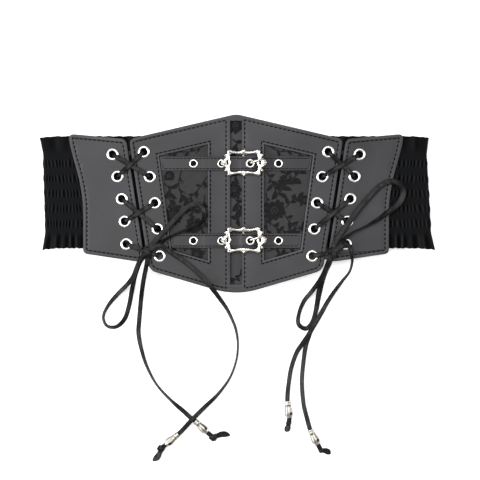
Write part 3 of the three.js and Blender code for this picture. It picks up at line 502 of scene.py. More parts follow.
def smooth_line(points: Sequence[Vector], steps: int, closed: bool = False) -> list[Vector]:
    """A smooth line through points.

    Args:
        points: The points, in any dimension.
        steps: Steps between two neighbours.
        closed: Whether the line runs back to its start.

    Returns:
        The points of the smooth line.
    """
    count = len(points)

    def at(i: int) -> Vector:
        """Point i, or the end point beyond an open line's ends."""
        return points[i % count] if closed else points[min(max(i, 0), count - 1)]

    def slope(i: int) -> Vector:
        """Direction of the line at point i."""
        span = (at(i + 1) - at(i)).length + (at(i) - at(i - 1)).length
        return (at(i + 1) - at(i - 1)) / max(span, 1e-9)

    line = []
    for i in range(count if closed else count - 1):
        a, b = at(i), at(i + 1)
        reach = (b - a).length
        for step in range(steps):
            t = step / steps
            line.append(
                a * (2 * t**3 - 3 * t**2 + 1)
                + slope(i) * (reach * (t**3 - 2 * t**2 + t))
                + b * (3 * t**2 - 2 * t**3)
                + slope(i + 1) * (reach * (t**3 - t**2))
            )
    return line if closed else [*line, at(count - 1)]


@dataclass(frozen=True)
class Section:
    """Cross-section of a swept strip or wire."""

    width: float
    thickness: float
    sides: int = 10
    squareness: float = 0.6
    # Painted shade on the two edges of the section, below 0
    painted_edge_shade: float = 0

    def round_points(self, bm: BMesh) -> list[BMVert]:
        """Adds the section's ring at the origin, one unit in radius, squared off a little, with painted shade on its
        edges.
        """
        ring = bmesh.ops.create_circle(bm, cap_ends=False, radius=1, segments=self.sides)["verts"]
        shade(bm, [v for v in ring if abs(v.co.x) > 0.4], self.painted_edge_shade * 0.4)
        shade(bm, [v for v in ring if abs(v.co.x) > 0.8], self.painted_edge_shade)
        for v in ring:
            v.co.x = math.copysign(abs(v.co.x) ** self.squareness, v.co.x)
            v.co.y = math.copysign(abs(v.co.y) ** self.squareness**2.3, v.co.y)
        return ring


def sweep(
    bm: BMesh,
    line: Sequence[Vector],
    across: Sequence[Vector],
    section: Section,
    widths: Sequence[float] | None = None,
    closed: bool = False,
) -> None:
    """Sweeps a section along a line.

    Args:
        bm: The mesh.
        line: The middle line.
        across: Direction of the section's width at each point.
        section: The section.
        widths: Shares of the section's size at each point, 1 if left out.
        closed: Whether the line runs back to its start.
    """
    last = len(line) - 1
    stations = []
    for i, point in enumerate(line):
        before, after = (line[i - 1], line[(i + 1) % len(line)]) if closed else (
            line[max(i - 1, 0)], line[min(i + 1, last)]
        )
        along = (after - before).normalized()
        side = (across[i] - along * across[i].dot(along)).normalized()
        share = widths[i] if widths else 1
        columns = [side * (section.width / 2 * share), along.cross(side) * (section.thickness / 2 * share)]
        basis = Matrix((*columns, along)).transposed().to_4x4()
        stations.append(Matrix.Translation(point) @ basis)
    ring = section.round_points(bm)
    bmesh.ops.transform(bm, matrix=stations[0], verts=ring)
    first = edges = ring_edges(ring)
    for before, after in zip(stations, stations[1:]):
        ring = only(BMVert, bmesh.ops.extrude_edge_only(bm, edges=edges)["geom"])
        bmesh.ops.transform(bm, matrix=after @ before.inverted(), verts=ring)
        edges = ring_edges(ring)
    if closed:
        bmesh.ops.bridge_loops(bm, edges=first + edges)
    else:
        bmesh.ops.contextual_create(bm, geom=first)
        bmesh.ops.contextual_create(bm, geom=edges)
    bmesh.ops.recalc_face_normals(bm, faces=bm.faces)


def streak(bm: BMesh) -> None:
    """Makes a lace's tone wander along it, as painted streaks of highlight and shade."""
    layer = bm.verts.layers.float[TONE]
    for v in bm.verts:
        v[layer] += 0.40 * math.sin(v.co.x * 830 + 2 * math.sin(v.co.y * 310)) + 0.2 * math.sin(v.co.y * 1500)


@dataclass(frozen=True)
class Corner:
    """A corner of an outline, with its rounding."""

    x: float
    y: float
    r: float

    def mirrored(self) -> "Corner":
        """The same corner on the other side of the middle."""
        return Corner(-self.x, self.y, self.r)


def rounded(corners: Sequence[Corner], steps: int = 8) -> list[Vector]:
    """An outline with rounded corners.

    Args:
        corners: Its corners, anticlockwise for an outer outline.
        steps: Steps round each corner.

    Returns:
        The outline's points at height 0.
    """
    points = []
    for i, corner in enumerate(corners):
        here = Vector((corner.x, corner.y, 0))
        after = corners[(i + 1) % len(corners)]
        back = (Vector((corners[i - 1].x, corners[i - 1].y, 0)) - here).normalized()
        ahead = (Vector((after.x, after.y, 0)) - here).normalized()
        reach = corner.r / math.tan(back.angle(ahead) / 2)
        start, end = here + back * reach, here + ahead * reach
        for step in range(steps + 1):
            t = step / steps
            points.append(start * (1 - t) ** 2 + here * (2 * t * (1 - t)) + end * t**2)
    return points


def moved_in(points: Sequence[Vector], distance: float) -> list[Vector]:
    """Moves a closed outline to its left by a distance."""
    moved = []
    for i, point in enumerate(points):
        back = (point - points[i - 1]).normalized()
        ahead = (points[(i + 1) % len(points)] - point).normalized()
        left = UP.cross(back) + UP.cross(ahead)
        moved.append(point + left * (distance * 2 / max(left.length_squared, 0.5)))
    return moved


def beyond(line: Sequence[Vector], x: float, hand: int) -> list[Vector]:
    """The part of a closed line on one side of x, closed along x.

    Args:
        line: The closed line.
        x: Where it is cut.
        hand: 1 for the part on the right and -1 for the part on the left.

    Returns:
        The part, in the line's own direction.
    """
    count = len(line)
    kept = [hand * (p.x - x) > 0 for p in line]
    start = next(i for i in range(count) if kept[i] and not kept[i - 1])
    part = [line[(start + k) % count] for k in range(count) if kept[(start + k) % count]]
    end = (start + len(part)) % count

    def crossing(a: Vector, b: Vector) -> Vector:
        """The point at x between two points."""
        return a.lerp(b, (x - a.x) / (b.x - a.x))

    return [crossing(line[start - 1], line[start]), *part, crossing(line[end - 1], line[end])]


@dataclass(frozen=True)
class Seam:
    """A run of separate stitches."""

    pitch: float = 0.0043
    length: float = 0.0030
    width: float = 0.0014
    height: float = 0.0008
    reach: float = 1.0

    def sew(self, bm: BMesh, line: Sequence[Vector], level: Callable[[float, float], float]) -> None:
        """Lays stitches along a closed line.

        Args:
            bm: The mesh that takes them.
            line: The closed line at height 0.
            level: Height of the surface at a place.
        """
        part = blank()
        for point, direction in self.places(line):
            if abs(point.x) > self.reach:
                continue
            centre = Vector((point.x, point.y, level(point.x, point.y)))
            ahead = point + direction * 0.001
            slope = (level(ahead.x, ahead.y) - centre.z) * 1000
            turn = Vector((direction.x, direction.y, slope)).to_track_quat("X", "Z")
            size = Vector((self.length / 2, self.width / 2, self.height / 2))
            matrix = Matrix.LocRotScale(centre, turn, size)
            bmesh.ops.create_uvsphere(part, u_segments=6, v_segments=4, radius=1, matrix=matrix)
            if len(part.verts) > 500:
                join(bm, part)
                part = blank()
        join(bm, part)

    def places(self, line: Sequence[Vector]) -> list[tuple[Vector, Vector]]:
        """Middle and direction of each stitch along a closed line."""
        lengths = [(line[(i + 1) % len(line)] - p).length for i, p in enumerate(line)]
        total = sum(lengths)
        count = round(total / self.pitch)
        found, i, passed = [], 0, 0.0
        for stitch in range(count):
            along = (stitch + 0.5) * total / count
            while passed + lengths[i] < along:
                passed += lengths[i]
                i += 1
            direction = (line[(i + 1) % len(line)] - line[i]).normalized()
            found.append((line[i] + direction * (along - passed), direction))
        return found


@dataclass
class Plate:
    """A leather piece with a rolled rim and a sewn groove along each of its edges."""

    name: str
    outline: list[Vector]
    openings: list[list[Vector]] = field(default_factory=list)
    plain_openings: list[list[Vector]] = field(default_factory=list)
    holes: list[tuple[float, float]] = field(default_factory=list)
    hole_radius: float = 0.0041
    thickness: float = 0.002
    roll: float = 0.0008
    ledge: float = 0.0024
    # shine and opening_shine set the painted highlight on the rolled rims
    shine: float = 0.45
    opening_ledge: float = 0.0011
    opening_shine: float = 1.0
    groove: float = 0.0012
    depth: float = 0.0003
    swell: float = 0.00014
    grid: float = 0.005
    seam: Seam = field(default_factory=Seam)

    def lift(self, x: float, y: float) -> float:
        """Height of the piece's underside."""
        return ARCH.underside(x)

    def sewn(self) -> list[tuple[list[Vector], float, float]]:
        """The sewn outlines, each with the width of the ledge beside its rim and the painted highlight of that rim."""
        inner = [(opening, self.opening_ledge, self.opening_shine) for opening in self.openings]
        return [(self.outline, self.ledge, self.shine), *inner]

    def seam_inset(self, ledge: float) -> float:
        """Distance of the stitches from an edge with such a ledge."""
        return self.roll + ledge + self.groove / 2

    def relief(self, ledge: float, shine: float) -> list[tuple[float, float, float]]:
        """Course of the upper face from an edge inwards: distance from the edge, height and tone, the tone being
        painted highlight on the swell and painted shade in the groove.
        """
        top, inner = self.thickness, self.roll + ledge
        return self.rim(shine) + [
            (self.roll + ledge / 2, top + self.swell, 0.3), (inner, top, 0.15),
            (inner + self.groove * 0.3, top - self.depth, -0.35),
            (inner + self.groove * 0.7, top - self.depth, -0.35), (inner + self.groove, top, 0.05),
        ]

    def rim(self, shine: float) -> list[tuple[float, float, float]]:
        """Course over the rolled rim alone, with painted shade on its wall and painted highlight on its top."""
        rim = [(0, 1, -0.8), (0.134, 0.5, -0.4), (0.5, 0.134, shine - 0.15), (1, 0, shine)]
        return [(inwards * self.roll, self.thickness - lower * self.roll, tone) for inwards, lower, tone in rim]

    def settle(self, x: float, height: float, tone: float) -> tuple[float, float]:
        """Height and tone of a border's point after what is special at x."""
        return height, tone

    def grooves_and_painted_shade(self, bm: BMesh) -> None:
        """Adds sewn grooves that run across the piece, and painted shade; none here."""

    def build(self) -> BMesh:
        """The piece's mesh in its place."""
        bm = blank()
        borders = [self._border(bm, outline, self.relief(*edge)) for outline, *edge in self.sewn()]
        borders += [self._border(bm, outline, self.rim(self.shine)) for outline in self.plain_openings]
        circles = []
        for level, place in ((0, 0), (1, self.thickness)):
            rings = [self._circle(bm, Vector((x, y, place))) for x, y in self.holes]
            fill_flat(bm, [e for border in borders for e in border[level]] + [e for ring in rings for e in ring])
            circles.append(rings)
        for foot, top in zip(*circles):
            bmesh.ops.bridge_loops(bm, edges=foot + top)
        self._cut_up(bm)
        self.grooves_and_painted_shade(bm)
        bmesh.ops.recalc_face_normals(bm, faces=bm.faces)
        for v in bm.verts:
            v.co.z += self.lift(v.co.x, v.co.y)
        return bm

    def _circle(self, bm: BMesh, centre: Vector) -> list[BMEdge]:
        """Adds the edges of one hole."""
        made = bmesh.ops.create_circle(
            bm, cap_ends=False, radius=self.hole_radius, segments=20, matrix=Matrix.Translation(centre)
        )
        return ring_edges(made["verts"])

    def _border(self, bm: BMesh, outline: list[Vector], relief: list) -> tuple[list[BMEdge], list[BMEdge]]:
        """Adds the wall, the rim and the groove along one outline.

        Args:
            bm: The mesh.
            outline: The outline, with the piece on its left.
            relief: Course of the upper face from this edge inwards.

        Returns:
            The lowest edges and the inmost ones.
        """
        verts = [bm.verts.new(point) for point in outline]
        foot = edges = [bm.edges.new((verts[i - 1], vert)) for i, vert in enumerate(verts)]
        order = {tuple(vert.co): i for i, vert in enumerate(verts)}
        layer = bm.verts.layers.float[TONE]
        for inwards, level, tone in relief:
            moved = moved_in(outline, inwards)
            verts = only(BMVert, bmesh.ops.extrude_edge_only(bm, edges=edges)["geom"])
            places = [order[tuple(vert.co)] for vert in verts]
            for vert, i in zip(verts, places):
                height, vert[layer] = self.settle(moved[i].x, level, tone)
                vert.co = (moved[i].x, moved[i].y, height)
            order = {tuple(vert.co): i for vert, i in zip(verts, places)}
            edges = ring_edges(verts)
        return foot, edges

    def _cut_up(self, bm: BMesh) -> None:
        """Cuts long faces so that the piece can bend."""
        for axis in (0, 1):
            places = [v.co[axis] for v in bm.verts]
            normal = Vector((1 - axis, axis, 0))
            for k in range(math.ceil(min(places) / self.grid), math.floor(max(places) / self.grid) + 1):
                everything = bm.verts[:] + bm.edges[:] + bm.faces[:]
                bmesh.ops.bisect_plane(bm, geom=everything, plane_co=normal * (k * self.grid), plane_no=normal)

    def stitches(self, bm: BMesh) -> None:
        """Adds the stitches along the outline and the openings to a mesh."""
        height = self.thickness + self.swell * 0.7 - self.depth + self.seam.height * 0.3

        def level(x: float, y: float) -> float:
            """Height of the stitches."""
            return self.lift(x, y) + height

        for line in self.seam_lines():
            self.seam.sew(bm, line, level)

    def seam_lines(self) -> list[list[Vector]]:
        """The closed lines of the stitches."""
        return [moved_in(outline, self.seam_inset(ledge)) for outline, ledge, _ in self.sewn()]


@dataclass
class FrontPlate(Plate):
    """The front panel, whose halves are each sewn round and joined by plain pieces at the slot's ends."""

    seam_x: tuple[float, float] = (-0.0096, 0.0084)

    def settle(self, x: float, height: float, tone: float) -> tuple[float, float]:
        """Leaves the groove and its painted shade out between the halves."""
        middle = self.seam_x[0] < x < self.seam_x[1] and tone < 0 and height > self.thickness - 0.9 * self.roll
        return (self.thickness, 0.2) if middle else (height, tone)

    def grooves_and_painted_shade(self, bm: BMesh) -> None:
        """Adds the upright grooves beside the slot, in painted shade, and painted shade over the left half of the
        panel.
        """
        line = moved_in(self.outline, self.seam_inset(self.ledge))
        layer = bm.verts.layers.float[TONE]
        for x in self.seam_x:
            ends = [p.y for p in beyond(line, x, 1) if abs(p.x - x) < 1e-6]
            for place in (x - self.groove / 2, x, x + self.groove / 2):
                everything = bm.verts[:] + bm.edges[:] + bm.faces[:]
                bmesh.ops.bisect_plane(bm, geom=everything, plane_co=(place, 0, 0), plane_no=(1, 0, 0))
            for v in bm.verts:
                if abs(v.co.x - x) < 1e-6 and min(ends) < v.co.y < max(ends) and v.co.z > self.thickness / 2:
                    v.co.z -= self.depth
                    v[layer] = -0.35
        # Painted shade over the left half of the panel
        for v in bm.verts:
            v[layer] -= 0.26 * math.exp(-(((v.co.x + 0.038) / 0.05) ** 2))

    def seam_lines(self) -> list[list[Vector]]:
        """A seam round each half and each window."""
        outer, *inner = super().seam_lines()
        return [beyond(outer, x, hand) for x, hand in zip(self.seam_x, (-1, 1))] + inner


@dataclass(frozen=True)
class FrontShape:
    """Outline, openings and eyelets of the front of the belt."""

    top_y: float = 0.0858
    point_y: float = -0.0886
    shoulder_x: float = 0.1028
    shoulder_y: float = 0.0618
    foot_x: float = 0.0835
    foot_y: float = -0.0642
    slot_half_width: float = 0.0056
    slot_top_margin: float = 0.0062
    slot_foot_margin: float = 0.0108
    window_inner_x: float = 0.027
    window_top_x: float = 0.0737
    window_foot_x: float = 0.0619
    window_top_margin: float = 0.0229
    window_foot_margin: float = 0.0261
    lacing_gap: float = 0.0026
    eyelet_inset: float = 0.014
    front_rows: tuple = ((0.903, 0.89), (0.713, 1.04), (0.514, 1.11), (0.315, 1.03), (0.11, 0.89))
    side_rows: tuple = ((0.877, 1.1), (0.698, 0.99), (0.517, 0.93), (0.335, 0.97), (0.152, 1.09))
    side_foot_y: float = -0.0569
    side_top_outer: tuple = (0.1615, 0.0672)
    side_foot_outer: tuple = (0.147, -0.048)

    def edge_x(self, y: float) -> float:
        """Place of the front panel's lacing edge at a height."""
        share = (y - self.foot_y) / (self.shoulder_y - self.foot_y)
        return self.foot_x + share * (self.shoulder_x - self.foot_x)

    def window_top(self, x: float) -> float:
        """Height of the windows' upper edge."""
        return self.top_y - x * (self.top_y - self.shoulder_y) / self.shoulder_x - self.window_top_margin

    def window_foot(self, x: float) -> float:
        """Height of the windows' lower edge."""
        return self.point_y + x * (self.foot_y - self.point_y) / self.foot_x + self.window_foot_margin

    def window_edge_x(self, y: float) -> float:
        """Place of the windows' outer edge at a height."""
        foot, top = self.window_foot(self.window_foot_x), self.window_top(self.window_top_x)
        return self.window_foot_x + (y - foot) / (top - foot) * (self.window_top_x - self.window_foot_x)

    def panel(self) -> list[Vector]:
        """Outline of the front panel."""
        right = [Corner(self.foot_x, self.foot_y, 0.012), Corner(self.shoulder_x, self.shoulder_y, 0.006)]
        left = [corner.mirrored() for corner in reversed(right)]
        point, peak = Corner(0, self.point_y, 0.075), Corner(0, self.top_y, 0.02)
        return rounded([point, *right, peak, *left], 10)

    def slot(self) -> list[Vector]:
        """Outline of the middle slot, clockwise."""
        x, r = self.slot_half_width, 0.001
        top, foot = self.top_y - self.slot_top_margin, self.point_y + self.slot_foot_margin
        corners = [Corner(-x, foot, r), Corner(x, foot, r), Corner(x, top, r), Corner(-x, top, r)]
        return rounded(corners[::-1], 4)

    def window(self, hand: int) -> list[Vector]:
        """Outline of a window, clockwise; hand is 1 for the right one and -1 for the left one."""
        inner = self.window_inner_x
        corners = [
            (inner, self.window_top(inner)), (self.window_top_x, self.window_top(self.window_top_x)),
            (self.window_foot_x, self.window_foot(self.window_foot_x)), (inner, self.window_foot(inner)),
        ]
        outline = [Vector((hand * x, y, 0)) for x, y in corners]
        return outline if hand > 0 else outline[::-1]

    def side(self, hand: int) -> list[Vector]:
        """Outline of a side panel, anticlockwise."""
        gap, r = self.lacing_gap, 0.007
        (top_x, top_y), (foot_x, foot_y) = self.side_top_outer, self.side_foot_outer
        ends = [
            Corner(self.edge_x(self.shoulder_y) + gap, self.shoulder_y, r),
            Corner(self.edge_x(self.side_foot_y) + gap, self.side_foot_y, r),
            Corner(foot_x, foot_y, 0.005),
        ]
        hollow = [(0, 0.06), (0, 0.2), (0, 0.34), (0.05, 0.45), (0.27, 0.617), (0.71, 0.82), (0.9, 0.92)]
        curve = smooth_line(
            [Vector((foot_x + out * (top_x - foot_x), foot_y + up * (top_y - foot_y), 0)) for out, up in hollow], 4
        )
        # The outer corners join the hollow edge along its own directions
        first, last = curve[0], curve[-1]
        outer = Corner(top_x, top_y, 0.005)
        start = rounded([outer, *ends, Corner(first.x, first.y, 0.0001)], 8)[9:36]
        top = rounded([Corner(last.x, last.y, 0.0001), outer, ends[0]], 8)[9:18]
        outline = start + curve + top
        if hand < 0:
            outline = [Vector((-p.x, p.y, 0)) for p in reversed(outline)]
        return outline

    def eyelets(self, hand: int, column: str) -> list[tuple[float, float]]:
        """Places of one column of eyelets, from the top."""
        on_front = column == "front"
        foot, rows = (self.foot_y, self.front_rows) if on_front else (self.side_foot_y, self.side_rows)
        places = []
        for up, inset in rows:
            y = foot + up * (self.shoulder_y - foot)
            reach = inset * self.eyelet_inset
            x = self.edge_x(y) - reach if on_front else self.edge_x(y) + self.lacing_gap + reach
            places.append((hand * x, y))
        return places


SHAPE = FrontShape()


@dataclass
class Panels:
    """The front panel, the two side panels and the closure behind."""

    hands: tuple = ((-1, "left"), (1, "right"))
    closure_half_width: float = 0.017
    closure_overhang: float = 0.0012

    def build(self) -> None:
        """Builds the panels and their seams."""
        seams = blank()
        eyelets = [place for hand, _ in self.hands for place in SHAPE.eyelets(hand, "front")]
        windows = [SHAPE.window(hand) for hand, _ in self.hands]
        front = FrontPlate("leather_front", SHAPE.panel(), windows, [SHAPE.slot()], eyelets)
        finished(front.build(), front.name, Finish.PANEL, ["front_panel"])
        front.stitches(seams)
        for hand, side in self.hands:
            plate = Plate(f"leather_side_{side}", SHAPE.side(hand), holes=SHAPE.eyelets(hand, "side"))
            finished(plate.build(), plate.name, Finish.PANEL, [f"side_panel_{side}"])
            plate.stitches(seams)
        finished(seams, "panel_seams", Finish.SEAM)
        self._closure()

    def _closure(self) -> None:
        """Builds the plain piece that joins the band's halves behind."""
        low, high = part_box("back_closure")
        corners = [Corner(x, y, 0.003) for x, y in ((low.x, low.y), (high.x, low.y), (high.x, high.y), (low.x, high.y))]
        plate = FlatPlate("leather_closure", rounded(corners))
        finished(plate.build(), plate.name, Finish.PANEL, ["back_closure"])


class FlatPlate(Plate):
    """A leather piece that lies on the floor."""

    def lift(self, x: float, y: float) -> float:
        """Height of the piece's underside."""
        return 0.0


@dataclass
class Lining:
    """Satin and floral lace behind the slot and the windows."""

    margin: float = 0.0036
    thickness: float = 0.001
    clearance: float = 0.0003
    thread: float = 0.00022

    def build(self) -> None:
        """Builds the sheet and the lace motifs on it."""
        top_x, foot_x = SHAPE.window_top_x + self.margin, SHAPE.window_foot_x + self.margin
        top_y = SHAPE.window_top(SHAPE.window_top_x) + self.margin
        foot_y = SHAPE.window_foot(SHAPE.window_foot_x) - self.margin
        peak = SHAPE.top_y - SHAPE.slot_top_margin + self.margin * 1.2
        point = SHAPE.point_y + SHAPE.slot_foot_margin - self.margin * 1.2
        right = [Corner(foot_x, foot_y, 0.002), Corner(top_x, top_y, 0.002)]
        left = [corner.mirrored() for corner in reversed(right)]
        outline = rounded([Corner(0, point, 0.002), *right, Corner(0, peak, 0.002), *left], 4)
        sheet = Sheet("satin_lining", outline, thickness=self.thickness, roll=0.0002)
        piece = finished(sheet.build(), sheet.name, Finish.SATIN, ["lace_lining"])
        area = abs(sum(a.x * b.y - b.x * a.y for a, b in zip(outline, outline[1:] + outline[:1]))) / 2
        motifs = LaceMotifs(self.level, self.thread).build()

    def level(self, x: float) -> float:
        """Height of the sheet's upper face."""
        return ARCH.underside(x) - self.clearance


class Sheet(Plate):
    """A thin sheet just under the leather, with no seam of its own."""

    def lift(self, x: float, y: float) -> float:
        """Height of the sheet's underside."""
        return ARCH.underside(x) - 0.0003 - self.thickness

    def relief(self, ledge: float, shine: float) -> list[tuple[float, float, float]]:
        """Only a softened rim."""
        return [(0, self.thickness - self.roll, 0), (self.roll, self.thickness, 0)]

    def grooves_and_painted_shade(self, bm: BMesh) -> None:
        """Darkens the sheet beside the upright edges that stand between it and the light."""
        layer = bm.verts.layers.float[TONE]
        for x, reach in ((-SHAPE.slot_half_width, 0.0016), (SHAPE.window_inner_x, 0.0014)):
            for place in (x - 0.0004, x + reach * 0.5, x + reach):
                everything = bm.verts[:] + bm.edges[:] + bm.faces[:]
                bmesh.ops.bisect_plane(bm, geom=everything, plane_co=(place, 0, 0), plane_no=(1, 0, 0))
            for v in bm.verts:
                if x - 0.0005 < v.co.x < x + reach * 0.6:
                    v[layer] = -1.2
        # Further out the satin takes painted light in the slot and painted shade in the left window
        for v in bm.verts:
            if v[layer] > -1:
                v[layer] += 0.7 if abs(v.co.x) < 0.008 else -0.5 if v.co.x < -0.02 else 0


@dataclass
class LaceMotifs:
    """Roses, leaves and tendrils of the lace, as raised thread work."""

    level: Callable[[float], float]
    thread: float
    seed: int = 7
    # Roses by place, size and turn, so that each opening shows one or two
    roses: tuple = (
        (0.0376, -0.0068, 0.0112, 0.3), (-0.0022, 0.0130, 0.0090, 1.2), (-0.0600, -0.0110, 0.0092, 0.8),
        (0.0000, 0.0752, 0.0088, 0.0), (-0.0392, -0.0218, 0.0078, 2.1), (0.0460, -0.0510, 0.0070, 2.0),
        (-0.0372, -0.0492, 0.0072, 0.1), (0.0668, 0.0030, 0.0050, 1.1), (-0.0640, 0.0265, 0.0056, 2.6),
        (-0.0620, -0.0455, 0.0060, 1.4),
    )
    # Vines by the points that they pass through, with the length of their leaves
    vines: tuple = (
        (0.0092, ((0.0295, 0.0300), (0.0335, 0.0230), (0.0365, 0.0160), (0.0400, 0.0095), (0.0440, 0.0130),
                  (0.0500, 0.0200), (0.0570, 0.0260), (0.0640, 0.0330))),
        (0.0088, ((0.0440, 0.0130), (0.0460, 0.0190), (0.0485, 0.0240), (0.0475, 0.0300))),
        (0.0092, ((0.0480, -0.0040), (0.0530, 0.0020), (0.0590, 0.0050), (0.0650, 0.0020))),
        (0.0086, ((0.0460, -0.0100), (0.0520, -0.0180), (0.0590, -0.0240), (0.0640, -0.0230))),
        (0.0082, ((0.0330, -0.0190), (0.0400, -0.0240), (0.0480, -0.0270), (0.0570, -0.0300))),
        (0.0070, ((0.0290, 0.0100), (0.0300, -0.0020), (0.0290, -0.0160), (0.0300, -0.0280))),
        (0.0066, ((0.0300, 0.0560), (0.0420, 0.0500), (0.0540, 0.0500), (0.0700, 0.0430))),
        (0.0070, ((0.0300, -0.0460), (0.0400, -0.0430), (0.0600, -0.0430))),
        (0.0090, ((-0.0522, 0.0320), (-0.0551, 0.0169), (-0.0493, 0.0022), (-0.0430, -0.0080))),
        (0.0086, ((-0.0277, 0.0260), (-0.0350, 0.0150), (-0.0434, 0.0061), (-0.0493, 0.0022))),
        (0.0086, ((-0.0690, 0.0200), (-0.0630, 0.0120), (-0.0640, 0.0040), (-0.0590, -0.0040))),
        (0.0090, ((-0.0419, -0.0010), (-0.0415, -0.0090), (-0.0440, -0.0170), (-0.0400, -0.0260))),
        (0.0070, ((-0.0300, 0.0080), (-0.0310, -0.0060), (-0.0300, -0.0180), (-0.0330, -0.0270))),
        (0.0066, ((-0.0300, 0.0560), (-0.0420, 0.0500), (-0.0560, 0.0490), (-0.0700, 0.0430))),
        (0.0070, ((-0.0290, -0.0460), (-0.0430, -0.0440), (-0.0600, -0.0420))),
        (0.0074, ((-0.0030, 0.0620), (0.0010, 0.0560), (-0.0040, 0.0480), (0.0020, 0.0300), (-0.0020, 0.0230))),
        (0.0100, ((-0.0020, 0.0060), (0.0020, 0.0000), (0.0050, -0.0080), (0.0020, -0.0150))),
        (0.0056, ((0.0050, -0.0630), (0.0030, -0.0700), (-0.0020, -0.0740), (-0.0050, -0.0750))),
    )

    def build(self) -> bpy.types.Object:
        """Builds all the motifs as one piece."""
        chance = Random(self.seed)
        bm = blank()
        for x, y, size, turn in self.roses:
            join(bm, self._rose(Vector((x, y, 0)), size, turn, chance))
        for length, places in self.vines:
            join(bm, self._vine([Vector((x, y, 0)) for x, y in places], length, chance))
        for v in bm.verts:
            v.co.z += self.level(v.co.x)
        return finished(bm, "lace_motifs", Finish.MOTIF)

    def _petal(self, bm: BMesh, root: Vector, turn: float, size: tuple[float, float], tip: float, bend: float) -> None:
        """Adds one petal or leaf with a corded edge.

        Args:
            bm: The mesh.
            root: Where it starts.
            turn: Its direction in radians.
            size: Its length and width.
            tip: How pointed it is, from 0 for round to 1 for sharp.
            bend: How far it curves sideways.
        """
        part = blank()
        ring = bmesh.ops.create_circle(part, cap_ends=True, radius=1, segments=12)["verts"]
        for v in ring:
            v.co.y = v.co.y * (1 - tip * v.co.x**2 * 0.85) + bend * (1 - v.co.x**2)
        face = ring[0].link_faces[:1]
        top = only(BMFace, bmesh.ops.extrude_face_region(part, geom=face, use_keep_orig=True)["geom"])[0]
        bmesh.ops.translate(part, verts=top.verts[:], vec=UP)
        shade(part, top.verts[:], 0.5)
        middle = Matrix.Translation((0, -bend * 0.6, 0))
        for share, lower, tone in ((0.84, 0, 0.3), (0.88, 0.6, 0)):
            top = bmesh.ops.extrude_discrete_faces(part, faces=[top])["faces"][0]
            bmesh.ops.scale(part, verts=top.verts[:], vec=(share, share, 1), space=middle)
            bmesh.ops.translate(part, verts=top.verts[:], vec=UP * -lower)
            shade(part, top.verts[:], tone)
        length, width = size
        middle = root + Vector((math.cos(turn), math.sin(turn), 0)) * (length / 2)
        scale = Vector((length / 2, width / 2, self.thread))
        matrix = Matrix.LocRotScale(middle, Matrix.Rotation(turn, 3, "Z"), scale)
        bmesh.ops.transform(part, matrix=matrix, verts=part.verts)
        join(bm, part)

    def _rose(self, centre: Vector, size: float, turn: float, chance: Random) -> BMesh:
        """Makes a rose: rings of uneven petals round a coiled heart.

        Args:
            centre: Its middle.
            size: Its radius.
            turn: Radians by which it is turned.
            chance: Source of its unevenness.

        Returns:
            Its mesh.
        """
        bm = blank()
        for count, reach, length, width in ((11, 0.42, 0.56, 0.46), (8, 0.22, 0.50, 0.56), (6, 0.02, 0.44, 0.46)):
            for k in range(count):
                angle = turn + 2 * math.pi * (k + chance.uniform(-0.2, 0.2)) / count
                out = Vector((math.cos(angle), math.sin(angle), 0)) * (size * reach)
                grown = size * chance.uniform(0.7, 1.4)
                self._petal(bm, centre + out, angle, (grown * length, size * width), 0.45, chance.uniform(-0.3, 0.3))
        heart = [
            centre + Vector((math.cos(t * 0.95), math.sin(t * 0.95), 0)) * (size * 0.035 * t) + UP * self.thread
            for t in range(1, 12)
        ]
        self._cord(bm, smooth_line(heart, 3), 0.0009, 1.0)
        return bm

    def _cord(self, bm: BMesh, line: list[Vector], width: float, tone: float) -> None:
        """Adds a thin cord of thread along a line."""
        part = blank()
        sweep(part, line, [UP.cross(line[-1] - line[0])] * len(line), Section(width, self.thread * 1.6, 6, 1))
        shade(part, part.verts, tone)
        join(bm, part)

    def _vine(self, points: list[Vector], length: float, chance: Random) -> BMesh:
        """Makes a vine with curled leaves on both sides.

        Args:
            points: Points that it passes through.
            length: Length of its leaves.
            chance: Source of its unevenness.

        Returns:
            Its mesh.
        """
        bm = blank()
        line = smooth_line(points, 5)
        self._cord(bm, [p + UP * (self.thread / 2) for p in line], 0.0013, 0.2)
        side = 1
        for i in range(2, len(line) - 1, 2):
            along = line[i + 1] - line[i - 1]
            heading = math.atan2(along.y, along.x) + side * chance.uniform(0.6, 1.2)
            grown = length * chance.uniform(0.6, 1.15)
            size = (grown, grown * chance.uniform(0.42, 0.60))
            self._petal(bm, line[i], heading, size, chance.uniform(0.5, 1), -side * chance.uniform(0.1, 0.9))
            if i % 4 == 0:
                self._tendril(bm, line[i], heading - side * 1.9, length * 0.8)
            side = -side
        return bm

    def _tendril(self, bm: BMesh, root: Vector, heading: float, reach: float) -> None:
        """Adds a thin curl."""
        points, p = [root + UP * (self.thread / 2)], root.copy()
        for step in range(9):
            heading += 0.16 + step * 0.09
            p = p + Vector((math.cos(heading), math.sin(heading), 0)) * (reach * 0.17 * (1 - step * 0.08))
            points.append(p + UP * (self.thread / 2))
        self._cord(bm, points, 0.0006, 0.3)


